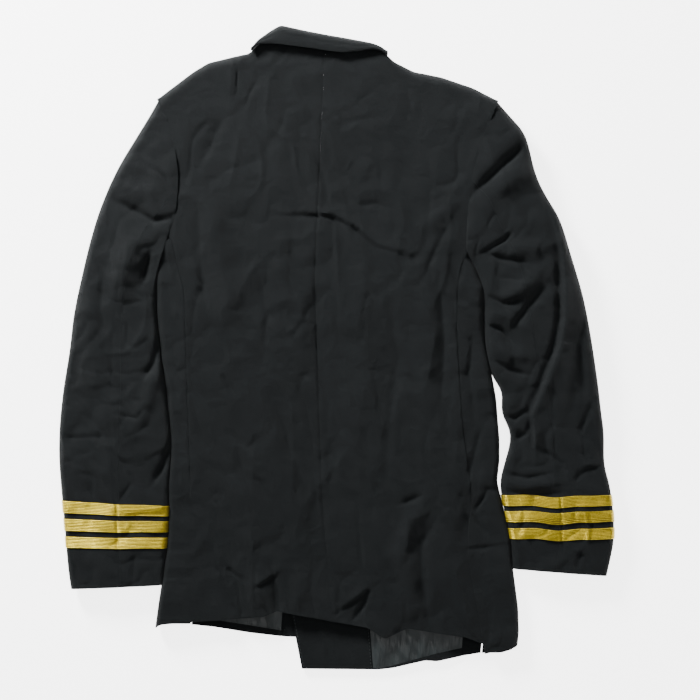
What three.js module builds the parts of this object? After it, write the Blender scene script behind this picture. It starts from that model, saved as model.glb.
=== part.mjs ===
// A double-breasted service dress jacket, laid face down on a flat surface with its back up.
// The fronts lie on the surface, the left one lowest and crossed by the right one. The side panels
// wrap the folded sides, the two backs close the body, and the sleeves lie along it.
// Millimetres. +X is the wearer's right, +Y the collar, +Z up from the surface.
import * as THREE from "three";

const { clamp, lerp, smoothstep } = THREE.MathUtils;

// Cloth
const WALL = 1.6; // shell cloth with its interlining
const LINING = 1.0; // lining and facing, which lie on the shell
const LACE = 0.9; // sleeve lace
const SEAM = 0.3; // gap between pieces that are sewn together
const SIDE_GAP = 0.8; // gap along the curved side-back seams
const UNDER_GAP = 2.8; // gap along the fronts' seams, beneath
const ARMHOLE_SEAM = 0.6; // gap round the curved armhole seam

// Fronts, which cross at the middle
const OVERLAP_X = 75; // each front's edge lies this far past the middle
const BREAK_Y = 60; // the lapels roll from here up to the neck
const NECK_LEFT = { x: -92, y: 352 };
const NECK_RIGHT = { x: 56, y: 352 };
const FRONT_LIFT = 3.3; // the fronts ride over the buttons and lapels by this much
const FRONT_STACK = WALL + SEAM; // the right front lies on the left one
const SIDE_WRAP = 42; // the side panels reach this far in under the body
const UNDERARM_RISE = 26; // their lower part rises this much beyond the underarm
const SHOULDER_ROLL = 13; // how far in the shoulder rounds over
const NECK_ROLL = 2;

const BUTTON = { radius: 11, thick: 3, columns: [-45, 45], rows: [38, -42, -122] };

// Sleeve lace: three equal bands, measured up the sleeve from the cuff's hem.
const LACE_BAND = { width: 14.3, pitch: 20.7, count: 3 };

// The folded sides of the body, and how high its back lies above the surface.
const BODY = [
  { y: 400, left: -221, right: 159.6, high: 27 },
  { y: 121, left: -221, right: 159.6, high: 27 },
  { y: 105, left: -221, right: 168, high: 27 },
  { y: 75, left: -222, right: 181, high: 25 },
  { y: 30, left: -219, right: 180, high: 23 },
  { y: 5, left: -216, right: 183, high: 22 },
  { y: -60, left: -208, right: 195, high: 20 },
  { y: -110, left: -203, right: 199, high: 19 },
  { y: -135, left: -203, right: 199, high: 19 },
  { y: -160, left: -207, right: 195, high: 18 },
  { y: -190, left: -206, right: 205, high: 18 },
  { y: -225, left: -207, right: 212, high: 17 },
  { y: -270, left: -212, right: 216, high: 16 },
  { y: -315, left: -219, right: 222, high: 15 },
  { y: -345, left: -223, right: 223, high: 14 },
  { y: -400, left: -219, right: 217, high: 13 },
];

// The top of the body: down each shoulder, and across the neck under the collar.
const TOP_LINE = [
  { x: -219, y: 305, roll: SHOULDER_ROLL },
  { x: -171, y: 341, roll: SHOULDER_ROLL },
  { x: -156, y: 350, roll: SHOULDER_ROLL },
  { x: -123, y: 358, roll: SHOULDER_ROLL },
  { x: -106, y: 361, roll: 8 },
  { x: -96, y: 370, roll: NECK_ROLL },
  { x: -79, y: 376, roll: NECK_ROLL },
  { x: -36, y: 371, roll: NECK_ROLL },
  { x: 8, y: 365, roll: NECK_ROLL },
  { x: 44, y: 367, roll: NECK_ROLL },
  { x: 56, y: 363, roll: NECK_ROLL },
  { x: 69, y: 351, roll: 8 },
  { x: 94, y: 339, roll: SHOULDER_ROLL },
  { x: 126, y: 333, roll: SHOULDER_ROLL },
  { x: 165, y: 320, roll: SHOULDER_ROLL },
  { x: 197, y: 303, roll: SHOULDER_ROLL },
];

// Armhole seams, each an arc from the shoulder to the underarm.
const ARMHOLE = {
  left: { shoulder: { x: -219, y: 305 }, underarm: { x: -221, y: 105 }, bow: 25 },
  right: { shoulder: { x: 197, y: 303 }, underarm: { x: 159, y: 121 }, bow: -11 },
};

// The side-back seams, which open into vents below the waist.
const VENT_TOP = { left: -189, right: -179 };
const VENT_LAP = 15; // the lower edge of each vent reaches this far under the upper one
const VENT_DROP = WALL + 1.1;
const SIDE_SEAM_LEFT = [
  { y: 137, x: -202 },
  { y: 73, x: -186 },
  { y: -61, x: -183 },
  { y: -189, x: -178 },
  { y: -207, x: -167 },
  { y: -238, x: -155 },
  { y: -293, x: -135 },
  { y: -323, x: -118 },
  { y: -345, x: -110 },
];
const SIDE_SEAM_RIGHT = [
  { y: 121, x: 159 },
  { y: 100, x: 151 },
  { y: 75, x: 147 },
  { y: 24, x: 146 },
  { y: -85, x: 153 },
  { y: -150, x: 162 },
  { y: -185, x: 165 },
  { y: -215, x: 161 },
  { y: -246, x: 160 },
  { y: -301, x: 169 },
  { y: -370, x: 181 },
];
const CENTRE_SEAM = [
  { y: 370, x: -14 },
  { y: 90, x: -27 },
  { y: -180, x: -18 },
  { y: -340, x: -5 },
];

// Lower edges, from left to right.
const BACK_HEM = [
  { x: -178, y: -328 },
  { x: -91, y: -326 },
  { x: -71, y: -321 },
  { x: -40, y: -325 },
  { x: 14, y: -335 },
  { x: 38, y: -339 },
  { x: 58, y: -352 },
  { x: 86, y: -340 },
  { x: 156, y: -351 },
  { x: 190, y: -366 },
];
const LEFT_FRONT_HEM = [
  { x: -221, y: -338, turn: 8 },
  { x: -192, y: -336, turn: 8 },
  { x: -150, y: -340, turn: 9 },
  { x: -107, y: -347, turn: 9 },
  { x: -64, y: -352, turn: 7 },
  { x: OVERLAP_X, y: -356, turn: 7 },
];
const RIGHT_FRONT_HEM = [
  { x: -43, y: -391, turn: 1 },
  { x: 51, y: -392, turn: 1 },
  { x: 69, y: -390, turn: 3 },
  { x: 108, y: -381, turn: 5 },
  { x: 123, y: -382, turn: 10 },
  { x: 151, y: -376, turn: 10 },
  { x: 181, y: -371, turn: 8 },
  { x: 217, y: -374, turn: 8 },
];
const RIGHT_FRONT_EDGE = [
  { y: BREAK_Y, x: -OVERLAP_X },
  { y: -320, x: -57 },
  { y: -391, x: -43 },
];
const FACING_SHARE = 0.4; // the right facing covers this much of its front's width
const RIGHT_INSIDE_TO = 0.9;
const LEFT_INSIDE = { from: 0.56, to: 0.97 };
const LAPEL = [
  { y: 64, wide: 8 },
  { y: 86, wide: 34 },
  { y: 110, wide: 52 },
  { y: 150, wide: 72 },
  { y: 190, wide: 84 },
  { y: 235, wide: 95 },
  { y: 262, wide: 99 },
  { y: 285, wide: 46 },
  { y: 310, wide: 34 },
  { y: 338, wide: 22 },
];
const LAPEL_CROSSING = 145;
const INSIDE_TOP = -280; // the facing and linings are built from here down to the hem

// The collar, from left to right: its turned-down leaf's edge and the roll at its top.
const COLLAR = [
  { x: -104, leaf: 362, roll: 367, high: 31 },
  { x: -96, leaf: 370, roll: 377, high: 32 },
  { x: -79, leaf: 371, roll: 389, high: 34 },
  { x: -68, leaf: 370, roll: 395, high: 35 },
  { x: -36, leaf: 366, roll: 388, high: 35 },
  { x: -10, leaf: 362, roll: 383, high: 34 },
  { x: 8, leaf: 360, roll: 380, high: 34 },
  { x: 30, leaf: 362, roll: 376, high: 34 },
  { x: 44, leaf: 364, roll: 373, high: 33 },
  { x: 54, leaf: 362, roll: 369, high: 32 },
  { x: 62, leaf: 357, roll: 363, high: 31 },
];
const COLLAR_FOOT = 7; // height of the collar's underside
const COLLAR_ROUND = 10; // how far in its roll rounds over

// Sleeves, in sections from the armhole to the cuff. Each runs from the outer edge (ox, oy) to the
// inner edge (ix, iy), bowed sideways at its middle, with its underside and its height over that.
const SLEEVE_LEFT = [
  { ox: -219.4, oy: 304, ix: -221.6, iy: 105, bow: 25, under: 0, high: 27 },
  { ox: -230, oy: 282, ix: -222.4, iy: 100, bow: 22, under: 0, high: 29 },
  { ox: -245, oy: 258, ix: -223.2, iy: 94, bow: 18, under: 0, high: 29 },
  { ox: -268, oy: 221, ix: -223.6, iy: 84, bow: 13, under: 0, high: 27 },
  { ox: -288, oy: 176, ix: -223.4, iy: 70, bow: 8, under: 0, high: 26 },
  { ox: -301, oy: 134, ix: -222.6, iy: 50, bow: 4, under: 0, high: 25 },
  { ox: -312, oy: 88, ix: -220.6, iy: 22, bow: 2, under: 0, high: 24 },
  { ox: -322, oy: 42, ix: -217.2, iy: -10, bow: 0, under: 0, high: 23 },
  { ox: -326, oy: 0, ix: -212, iy: -44, bow: 0, under: 0, high: 22 },
  { ox: -334, oy: -44, ix: -207, iy: -82, bow: 0, under: 0, high: 21 },
  { ox: -339, oy: -90, ix: -204, iy: -118, bow: 0, under: 0, high: 20 },
  { ox: -340, oy: -130, ix: -206, iy: -148, bow: 0, under: 0.5, high: 19 },
  { ox: -337, oy: -168, ix: -208, iy: -177, bow: 0, under: 1.5, high: 18 },
  { ox: -333, oy: -212, ix: -208.6, iy: -214, bow: 0, under: 1.5, high: 17 },
  { ox: -330, oy: -252, ix: -211.6, iy: -252, bow: 0, under: 1.5, high: 16 },
  { ox: -328, oy: -274, ix: -213.4, iy: -271, bow: 0, under: 1.5, high: 15 },
  { ox: -325, oy: -292, ix: -215, iy: -287, bow: 0, under: 1.5, high: 15 },
];
const SLEEVE_RIGHT = [
  { ox: 197.4, oy: 302.4, ix: 159.8, iy: 120.6, bow: -11, under: 0, high: 27 },
  { ox: 212, oy: 284, ix: 163.4, iy: 117, bow: -10, under: 0, high: 29 },
  { ox: 232, oy: 262, ix: 167, iy: 111, bow: -9, under: 0, high: 29 },
  { ox: 241, oy: 216, ix: 172.4, iy: 102, bow: -7, under: 0, high: 27 },
  { ox: 256, oy: 186, ix: 177.6, iy: 92, bow: -6, under: 0, high: 27 },
  { ox: 273, oy: 160, ix: 183.2, iy: 77, bow: -4, under: 0, high: 27 },
  { ox: 285, oy: 118, ix: 182.2, iy: 54, bow: -3, under: 0, high: 27 },
  { ox: 300, oy: 70, ix: 182.4, iy: 24, bow: -1, under: 0, high: 28 },
  { ox: 309, oy: 25, ix: 185, iy: -4, bow: 0, under: 0, high: 27 },
  { ox: 316, oy: -20, ix: 191.6, iy: -32, bow: 0, under: 0, high: 25 },
  { ox: 320, oy: -48, ix: 203, iy: -51, bow: 0, under: 0, high: 23 },
  { ox: 323, oy: -76, ix: 200, iy: -77, bow: 0, under: 0, high: 22 },
  { ox: 327, oy: -102, ix: 215, iy: -103, bow: 0, under: 0, high: 21 },
  { ox: 326, oy: -140, ix: 204.5, iy: -140, bow: 0, under: 0.5, high: 20 },
  { ox: 334, oy: -165, ix: 202.5, iy: -164, bow: 0, under: 1.5, high: 19 },
  { ox: 339, oy: -206, ix: 211, iy: -207, bow: 0, under: 1.5, high: 17 },
  { ox: 339, oy: -234, ix: 217.4, iy: -234, bow: 0, under: 1.5, high: 16 },
  { ox: 335, oy: -254, ix: 217.6, iy: -252, bow: 0, under: 1.5, high: 15 },
  { ox: 330, oy: -276, ix: 218, iy: -267, bow: 0, under: 1.5, high: 15 },
];
const SLEEVE_CAP = 0.45; // how far the folded edges round in, for each unit of height
const SLEEVE_CROWN = 2.5; // rise of the upper cloth between its folded edges
const HIND_SEAM = 0.55; // the hind-arm seam's place across the upper cloth
const FORE_SEAM = 0.3; // the fore-arm seam's place across the cloth beneath

// The largest folds: a line, half its width, and how far it rises (or, below zero, sinks).
const FOLDS = [
  { x0: -65, y0: 166, x1: 20, y1: 150, half: 13, rise: 3 }, // across the shoulder blades
  { x0: 20, y0: 160, x1: 90, y1: 120, half: 13, rise: 3.5 },
  { x0: -152, y0: 205, x1: -130, y1: 25, half: 16, rise: 4 }, // down the left back
  { x0: -100, y0: -60, x1: -39, y1: -226, half: 17, rise: 4 }, // from the waist to the hem
  { x0: 85, y0: -185, x1: 85, y1: -310, half: 15, rise: 5 },
  { x0: 20, y0: -280, x1: 42, y1: -335, half: 12, rise: 4 },
  { x0: -66, y0: -285, x1: -72, y1: -330, half: 13, rise: -3 }, // pleat at the hem
  { x0: 140, y0: -70, x1: 168, y1: -180, half: 14, rise: 3 },
  { x0: -270, y0: 186, x1: -205, y1: 160, half: 13, rise: -4 }, // left sleeve, below its head
  { x0: -222, y0: 140, x1: -262, y1: 72, half: 15, rise: 4 },
  { x0: -216, y0: -20, x1: -250, y1: -100, half: 15, rise: 3 },
  { x0: 168, y0: 186, x1: 228, y1: 245, half: 13, rise: -4 }, // right sleeve, below its head
  { x0: 180, y0: 120, x1: 262, y1: 134, half: 12, rise: 4 },
  { x0: 268, y0: 120, x1: 276, y1: 30, half: 14, rise: -4 }, // the long overlap at the elbow
  { x0: 266, y0: -5, x1: 240, y1: -85, half: 13, rise: -3 },
  { x0: 215, y0: 80, x1: 222, y1: 0, half: 15, rise: 4 },
];

const shell = cloth(0x1d2322);
const satin = cloth(0x2f3837, 0.55);
const lace = new THREE.MeshStandardMaterial({ color: 0xb79f42, roughness: 0.4, metalness: 0.7 });
const brass = new THREE.MeshStandardMaterial({ color: 0xb08d3c, roughness: 0.35, metalness: 0.9 });

// A woven cloth's material.
function cloth(color, roughness = 0.9) {
  return new THREE.MeshStandardMaterial({ color, roughness, metalness: 0 });
}

// A table's column, read at a place between its rows.
function read(table, key, at, column) {
  const ascending = table[0][key] < table.at(-1)[key];
  const next = table.findIndex((row) => (ascending ? row[key] >= at : row[key] <= at));
  if (next < 0) return table.at(-1)[column];
  if (next === 0) return table[0][column];
  const from = table[next - 1];
  const to = table[next];
  return lerp(from[column], to[column], (at - from[key]) / (to[key] - from[key]));
}

// A list of even steps from 0 to 1.
function steps(count) {
  return Array.from({ length: count + 1 }, (_, i) => i / count);
}

// How far the large folds raise the cloth here.
function foldHeight(x, y) {
  let height = 0;
  for (const fold of FOLDS) {
    const dx = fold.x1 - fold.x0;
    const dy = fold.y1 - fold.y0;
    const t = ((x - fold.x0) * dx + (y - fold.y0) * dy) / (dx * dx + dy * dy);
    const aside = Math.hypot(x - fold.x0 - t * dx, y - fold.y0 - t * dy) / fold.half;
    const ends = smoothstep(t, -0.2, 0.2) - smoothstep(t, 0.8, 1.2);
    height += fold.rise * Math.exp(-aside * aside) * ends;
  }
  return height;
}

// Height of the body's upper surface.
function backHeight(x, y) {
  return read(BODY, "y", y, "high") + foldHeight(x, y);
}

// Height of the left front's outer face, which looks down.
function leftLift(x, y) {
  return FRONT_LIFT * smoothstep(x, -188, -156) * smoothstep(y, -275, -150);
}

// Height of the right front's outer face, which passes over the left front.
function rightLift(x, y) {
  const own = FRONT_LIFT * (1 - smoothstep(x, 128, 164)) * smoothstep(y, -275, -150);
  return own + FRONT_STACK * (1 - smoothstep(x, 120, 160));
}

// Where an armhole seam lies at a height up the body.
function armholeX(side, y) {
  const { shoulder, underarm, bow } = ARMHOLE[side];
  const t = clamp((shoulder.y - y) / (shoulder.y - underarm.y), 0, 1);
  return lerp(shoulder.x, underarm.x, t) + 4 * t * (1 - t) * bow;
}

// A closed wall from a grid of [outer, inner] pairs of points.
function wall(grid) {
  const rows = grid.length;
  const columns = grid[0].length;
  const positions = [];
  for (const face of [0, 1]) {
    for (const row of grid) {
      for (const pair of row) positions.push(...pair[face]);
    }
  }
  const at = (face, r, c) => (face * rows + r) * columns + c;
  const index = [];
  const quad = (a, b, c, d) => index.push(a, b, c, a, c, d);
  for (let r = 0; r < rows - 1; r++) {
    for (let c = 0; c < columns - 1; c++) {
      quad(at(0, r, c), at(0, r + 1, c), at(0, r + 1, c + 1), at(0, r, c + 1));
      quad(at(1, r, c), at(1, r, c + 1), at(1, r + 1, c + 1), at(1, r + 1, c));
    }
  }
  for (let r = 0; r < rows - 1; r++) {
    quad(at(0, r, 0), at(1, r, 0), at(1, r + 1, 0), at(0, r + 1, 0));
    quad(at(0, r, columns - 1), at(0, r + 1, columns - 1), at(1, r + 1, columns - 1), at(1, r, columns - 1));
  }
  for (let c = 0; c < columns - 1; c++) {
    quad(at(0, 0, c), at(0, 0, c + 1), at(1, 0, c + 1), at(1, 0, c));
    quad(at(0, rows - 1, c), at(1, rows - 1, c), at(1, rows - 1, c + 1), at(0, rows - 1, c + 1));
  }
  return facingOut(positions, index);
}

// A geometry from points and triangles, turned so that its faces point out.
function facingOut(positions, index) {
  const [a, b, c] = [new THREE.Vector3(), new THREE.Vector3(), new THREE.Vector3()];
  let volume = 0;
  for (let i = 0; i < index.length; i += 3) {
    a.fromArray(positions, index[i] * 3);
    b.fromArray(positions, index[i + 1] * 3);
    c.fromArray(positions, index[i + 2] * 3);
    volume += a.dot(b.cross(c));
  }
  const geometry = new THREE.BufferGeometry();
  geometry.setAttribute("position", new THREE.Float32BufferAttribute(positions, 3));
  geometry.setIndex(volume < 0 ? index.reverse() : index);
  geometry.computeVertexNormals();
  return geometry;
}

function piece(name, geometry, material) {
  const mesh = new THREE.Mesh(geometry, material);
  mesh.name = name;
  return mesh;
}

// The grid of a panel that lies flat between two side edges, a top line and a hem.
// Its first rows round over the shoulder: facing is 1 for the upper cloth and -1 for the lower.
function layPanel({ columns, rows, left, right, topLine, hem, outer, facing, thick, rounded }) {
  const arcs = rounded ? steps(3).map((t) => (t * Math.PI) / 2) : [Math.PI / 2];
  const falls = steps(rows).slice(rounded ? 1 : 0);
  const place = (u, y) => lerp(left(y), right(y), u);
  const column = (u) => {
    const top = topLine(u);
    const topX = place(u, top);
    const roll = rounded ? read(TOP_LINE, "x", topX, "roll") : 0;
    const edgeGap = (facing * SEAM) / 2;
    const pairs = [];
    for (const arc of rounded ? arcs : []) {
      const flatY = top - roll;
      const y = flatY + roll * Math.cos(arc);
      const innerY = flatY + Math.max(roll - thick, 0.4) * Math.cos(arc);
      const x = place(u, y);
      const face = outer(x, flatY);
      const toMiddle = Math.abs(face - read(BODY, "y", y, "high") / 2);
      const drop = facing > 0 ? Math.min(roll * 1.05, toMiddle) : toMiddle;
      const middle = face - facing * drop;
      const z = middle + edgeGap + (face - middle - edgeGap) * Math.sin(arc);
      const innerFace = face - facing * thick;
      const innerZ = middle + edgeGap + (innerFace - middle - edgeGap) * Math.sin(arc);
      pairs.push([[x, y, z], [place(u, innerY), innerY, innerZ]]);
    }
    for (const v of falls) {
      const y = lerp(top - roll, hem(u), v);
      const x = place(u, y);
      const z = outer(x, y);
      pairs.push([[x, y, z], [x, y, z - facing * thick]]);
    }
    return pairs;
  };
  return steps(columns).map(column);
}

function backPanels() {
  const centre = (y) => read(CENTRE_SEAM, "y", y, "x");
  const leftEdge = (y) => {
    if (y > SIDE_SEAM_LEFT[0].y) return armholeX("left", y) + ARMHOLE_SEAM;
    return read(SIDE_SEAM_LEFT, "y", y, "x") + SIDE_GAP;
  };
  const rightEdge = (y) => {
    if (y > SIDE_SEAM_RIGHT[0].y) return armholeX("right", y) - ARMHOLE_SEAM;
    const lap = VENT_LAP * (1 - smoothstep(y, VENT_TOP.right - 14, VENT_TOP.right));
    return read(SIDE_SEAM_RIGHT, "y", y, "x") - SIDE_GAP + lap;
  };
  const outer = (x, y) => {
    const seam = read(SIDE_SEAM_RIGHT, "y", y, "x");
    const vent = 1 - smoothstep(y, VENT_TOP.right, VENT_TOP.right + 25);
    return backHeight(x, y) - VENT_DROP * smoothstep(x, seam - 30, seam - 8) * vent;
  };
  const across = (from, to, table) => (u) => read(table, "x", lerp(from, to, u), "y");
  const common = { rows: 22, outer, facing: 1, thick: WALL, rounded: true };
  const leftGrid = layPanel({
    ...common,
    columns: 9,
    left: leftEdge,
    right: (y) => centre(y) - SEAM / 2,
    topLine: across(-218, -14, TOP_LINE),
    hem: across(-118, -5, BACK_HEM),
  });
  const rightGrid = layPanel({
    ...common,
    columns: 9,
    left: (y) => centre(y) + SEAM / 2,
    right: rightEdge,
    topLine: across(-14, 196, TOP_LINE),
    hem: across(-5, 190, BACK_HEM),
  });
  return [
    piece("back_left", wall(leftGrid), shell),
    piece("back_right", wall(rightGrid), shell),
  ];
}

// How far in from the folded side the side panel reaches beneath, from the armhole down.
function sideWrap(side, y) {
  return lerp(16, SIDE_WRAP, smoothstep(ARMHOLE[side].underarm.y + UNDERARM_RISE - y, 0, 60));
}

// A side panel runs from its seam on the back, round the folded side, to its seam beneath.
function sidePanel(side) {
  const sign = side === "left" ? 1 : -1;
  const seamTable = side === "left" ? SIDE_SEAM_LEFT : SIDE_SEAM_RIGHT;
  const frontHem = side === "left" ? LEFT_FRONT_HEM : RIGHT_FRONT_HEM;
  const seamTop = seamTable[0].y - 1;
  const underarm = ARMHOLE[side].underarm.y - 2;
  const topHem = side === "left" ? -327 : -371;
  const foldHem = side === "left" ? -340 : -360;
  const column = (p) => {
    const above = p <= 0.3;
    const below = p >= 0.7;
    const turn = clamp((p - 0.3) / 0.4, 0, 1) * Math.PI;
    const rise = UNDERARM_RISE * clamp(p * 2 - 1, 0, 1);
    const start = above ? lerp(seamTop, underarm, p / 0.3) : underarm + rise;
    const foldX = read(BODY, "y", foldHem, side);
    const underHem = read(frontHem, "x", foldX + sign * 30, "y");
    const upper = lerp(topHem, foldHem, clamp(p / 0.5, 0, 1));
    const end = lerp(upper, underHem, clamp((p - 0.5) / 0.3, 0, 1));
    return steps(20).map((v) => {
      const y = lerp(start, end, v);
      const fold = read(BODY, "y", y, side);
      const high = backHeight(fold + sign * 12, y);
      const round = high * SLEEVE_CAP;
      const seam = read(seamTable, "y", y, "x");
      const lap = side === "left" ? VENT_LAP * (1 - smoothstep(y, VENT_TOP.left - 14, VENT_TOP.left)) : 0;
      if (above) {
        const x = lerp(seam + lap, fold + sign * round, p / 0.3);
        const vent = side === "left" ? 1 - smoothstep(y, VENT_TOP.left, VENT_TOP.left + 30) : 0;
        const dropped = VENT_DROP * smoothstep(x, seam - 26, seam - 6) * vent;
        const z = lerp(backHeight(x, y), high, smoothstep(p, 0.05, 0.3)) - dropped;
        return [[x, y, z], [x, y, z - WALL]];
      }
      if (below) {
        const x = fold + sign * lerp(round, sideWrap(side, y), (p - 0.7) / 0.3);
        return [[x, y, 0], [x, y, WALL]];
      }
      const half = high / 2;
      const reach = Math.sin(turn);
      const level = Math.cos(turn);
      return [
        [fold + sign * round * (1 - reach), y, half + half * level],
        [fold + sign * (round - (round - WALL) * reach), y, half + (half - WALL) * level],
      ];
    });
  };
  const across = [0, 0.15, 0.3, 0.36, 0.43, 0.5, 0.57, 0.64, 0.7, 0.85, 1];
  return piece(`side_${side}`, wall(across.map(column)), shell);
}

// A front's seam with its side panel, or with its sleeve above the underarm.
function frontSeam(side, y) {
  const sign = side === "left" ? 1 : -1;
  const armhole = armholeX(side, y) + sign * UNDER_GAP;
  const easing = 3 * smoothstep(y - ARMHOLE[side].underarm.y + 60, 0, 40);
  const sideSeam = read(BODY, "y", y, side) + sign * (sideWrap(side, y) + UNDER_GAP + easing);
  return lerp(armhole, sideSeam, smoothstep(ARMHOLE[side].underarm.y + 75 - y, 0, 38));
}

// The front edge of each front: straight below the break, and up to the neck above it.
function frontEdge(side, y) {
  const neck = side === "left" ? NECK_LEFT : NECK_RIGHT;
  const sign = side === "left" ? 1 : -1;
  if (y >= BREAK_Y) return lerp(sign * OVERLAP_X, neck.x, (y - BREAK_Y) / (neck.y - BREAK_Y));
  return side === "left" ? OVERLAP_X : read(RIGHT_FRONT_EDGE, "y", y, "x");
}

function fronts() {
  const common = { columns: 10, rows: 20, facing: -1, thick: WALL, rounded: true };
  const leftGrid = layPanel({
    ...common,
    left: (y) => frontSeam("left", y),
    right: (y) => frontEdge("left", y),
    topLine: (u) => read(TOP_LINE, "x", lerp(-218, NECK_LEFT.x - 14, u), "y"),
    hem: (u) => read(LEFT_FRONT_HEM, "x", lerp(-180, OVERLAP_X, u), "y"),
    outer: leftLift,
  });
  const rightGrid = layPanel({
    ...common,
    left: (y) => frontEdge("right", y),
    right: (y) => frontSeam("right", y),
    topLine: (u) => read(TOP_LINE, "x", lerp(NECK_RIGHT.x + 13, 196, u), "y"),
    hem: (u) => read(RIGHT_FRONT_HEM, "x", lerp(-43, 176, u), "y"),
    outer: rightLift,
  });
  return [
    piece("front_left", wall(leftGrid), shell),
    piece("front_right", wall(rightGrid), shell),
  ];
}

// A place across a front, from its front edge (0) to its side seam (1).
function frontPlace(side, share, y) {
  return lerp(frontEdge(side, y), frontSeam(side, y), share);
}

// What lies on the inside of a front: made from the front's points, moved up. It reaches from one
// share of the front's width to another, and from its top down to a distance above the hem.
function insidePiece(name, material, { side, from, to, columns, top, above, rows = 4 }) {
  const hemTable = side === "left" ? LEFT_FRONT_HEM : RIGHT_FRONT_HEM;
  const lift = side === "left" ? leftLift : rightLift;
  const grid = steps(columns).map((step) => {
    const share = lerp(from, to, step);
    const guide = frontPlace(side, share, hemTable[0].y);
    const hem = read(hemTable, "x", guide, "y");
    const start = top(guide, hem);
    const end = hem + above(guide) + SEAM;
    return steps(rows).map((v) => {
      const y = lerp(start, end, v);
      const x = frontPlace(side, share, y);
      const z = lift(x, y) + WALL + SEAM;
      return [[x, y, z + LINING], [x, y, z]];
    });
  });
  return piece(name, wall(grid), material);
}

function insides() {
  const turnUp = (table) => (x) => read(table, "x", x, "turn");
  const leftTurn = turnUp(LEFT_FRONT_HEM);
  const rightTurn = turnUp(RIGHT_FRONT_HEM);
  const high = () => INSIDE_TOP;
  const low = () => 0;
  const left = { side: "left", from: LEFT_INSIDE.from, to: LEFT_INSIDE.to, columns: 6 };
  const right = { side: "right", from: FACING_SHARE, to: RIGHT_INSIDE_TO, columns: 5 };
  const facing = { from: 0.002, to: FACING_SHARE - 0.002, columns: 4 };
  const band = { above: low, rows: 1 };
  return [
    insidePiece("lining_left", satin, { ...left, top: high, above: leftTurn }),
    insidePiece("hem_left", shell, { ...left, ...band, top: (x, hem) => hem + leftTurn(x) }),
    insidePiece("facing_right", shell, { ...right, ...facing, top: high, above: low }),
    insidePiece("lining_right", satin, { ...right, top: high, above: rightTurn }),
    insidePiece("hem_right", shell, { ...right, ...band, top: (x, hem) => hem + rightTurn(x) }),
  ];
}

// The lapels lie under the fronts, beside the edge of the neck opening. The left front hides the
// lower part of the right lapel.
function lapel(side) {
  const sign = side === "left" ? 1 : -1;
  const lift = side === "left" ? leftLift : rightLift;
  const levels = LAPEL.filter(({ y }) => side === "left" || y > LAPEL_CROSSING);
  const grid = levels.map(({ y, wide }) => {
    const edge = frontEdge(side, y);
    const start = side === "left" ? edge : Math.max(edge, frontEdge("left", y) + 1);
    return steps(5).map((t) => {
      const x = lerp(start - sign * 1.5, edge - sign * wide, t);
      const z = lift(x, y) - SEAM;
      return [[x, y, z - WALL], [x, y, z]];
    });
  });
  return piece(`lapel_${side}`, wall(grid), shell);
}

function buttons() {
  const { radius, thick, columns, rows } = BUTTON;
  const profile = [
    [0, 0],
    [radius * 0.7, 0],
    [radius * 0.95, thick * 0.3],
    [radius, thick * 0.7],
    [radius * 0.95, thick],
    [0, thick],
  ].map(([r, h]) => new THREE.Vector2(r, h));
  return rows.flatMap((y, row) =>
    columns.map((x, column) => {
      const name = `button_${row + 1}_${column ? "right" : "left"}`;
      const mesh = piece(name, new THREE.LatheGeometry(profile, 14), brass);
      mesh.rotation.x = Math.PI / 2;
      mesh.position.set(x, y, 0);
      return mesh;
    }),
  );
}

// The collar's leaf: from its free edge over the back, round the roll, to its foot beneath.
function collarLeaf() {
  const grid = COLLAR.map(({ x, leaf, roll, high }) => {
    const round = Math.min(COLLAR_ROUND, (roll - leaf) * 0.6);
    const half = (high - COLLAR_FOOT) / 2;
    const middle = COLLAR_FOOT + half;
    const flat = [0, 0.5].map((t) => {
      const y = lerp(leaf, roll - round, t);
      return [[x, y, high], [x, y, high - WALL]];
    });
    const arc = steps(7).map((t) => {
      const turn = t * Math.PI;
      const inner = Math.max(round - WALL, 0.3);
      return [
        [x, roll - round + round * Math.sin(turn), middle + half * Math.cos(turn)],
        [x, roll - round + inner * Math.sin(turn), middle + (half - WALL) * Math.cos(turn)],
      ];
    });
    return [...flat, ...arc];
  });
  return piece("collar_leaf", wall(grid), shell);
}

// The collar's stand rises from the neck seam, inside the leaf.
function collarStand() {
  const grid = COLLAR.slice(2, -2).map(({ x, roll, high }) => {
    const neck = read(TOP_LINE, "x", x, "y");
    const neckHigh = read(BODY, "y", neck, "high");
    const gap = WALL + SEAM;
    return steps(3).map((t) => {
      const y = lerp(neck + SEAM, Math.max(roll - COLLAR_ROUND * 0.75, neck + 2.5), t);
      const z = lerp(neckHigh - 0.5, high - gap - 1.3, t * t);
      return [[x, y, z], [x, y, z - WALL]];
    });
  });
  return piece("collar_stand", wall(grid), shell);
}

// A sleeve's section, read between the rows of its table.
function sleeveSection(table, at) {
  const index = clamp(Math.floor(at), 0, table.length - 2);
  const t = at - index;
  const blend = (key) => lerp(table[index][key], table[index + 1][key], t);
  return Object.fromEntries(Object.keys(table[0]).map((key) => [key, blend(key)]));
}

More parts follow.
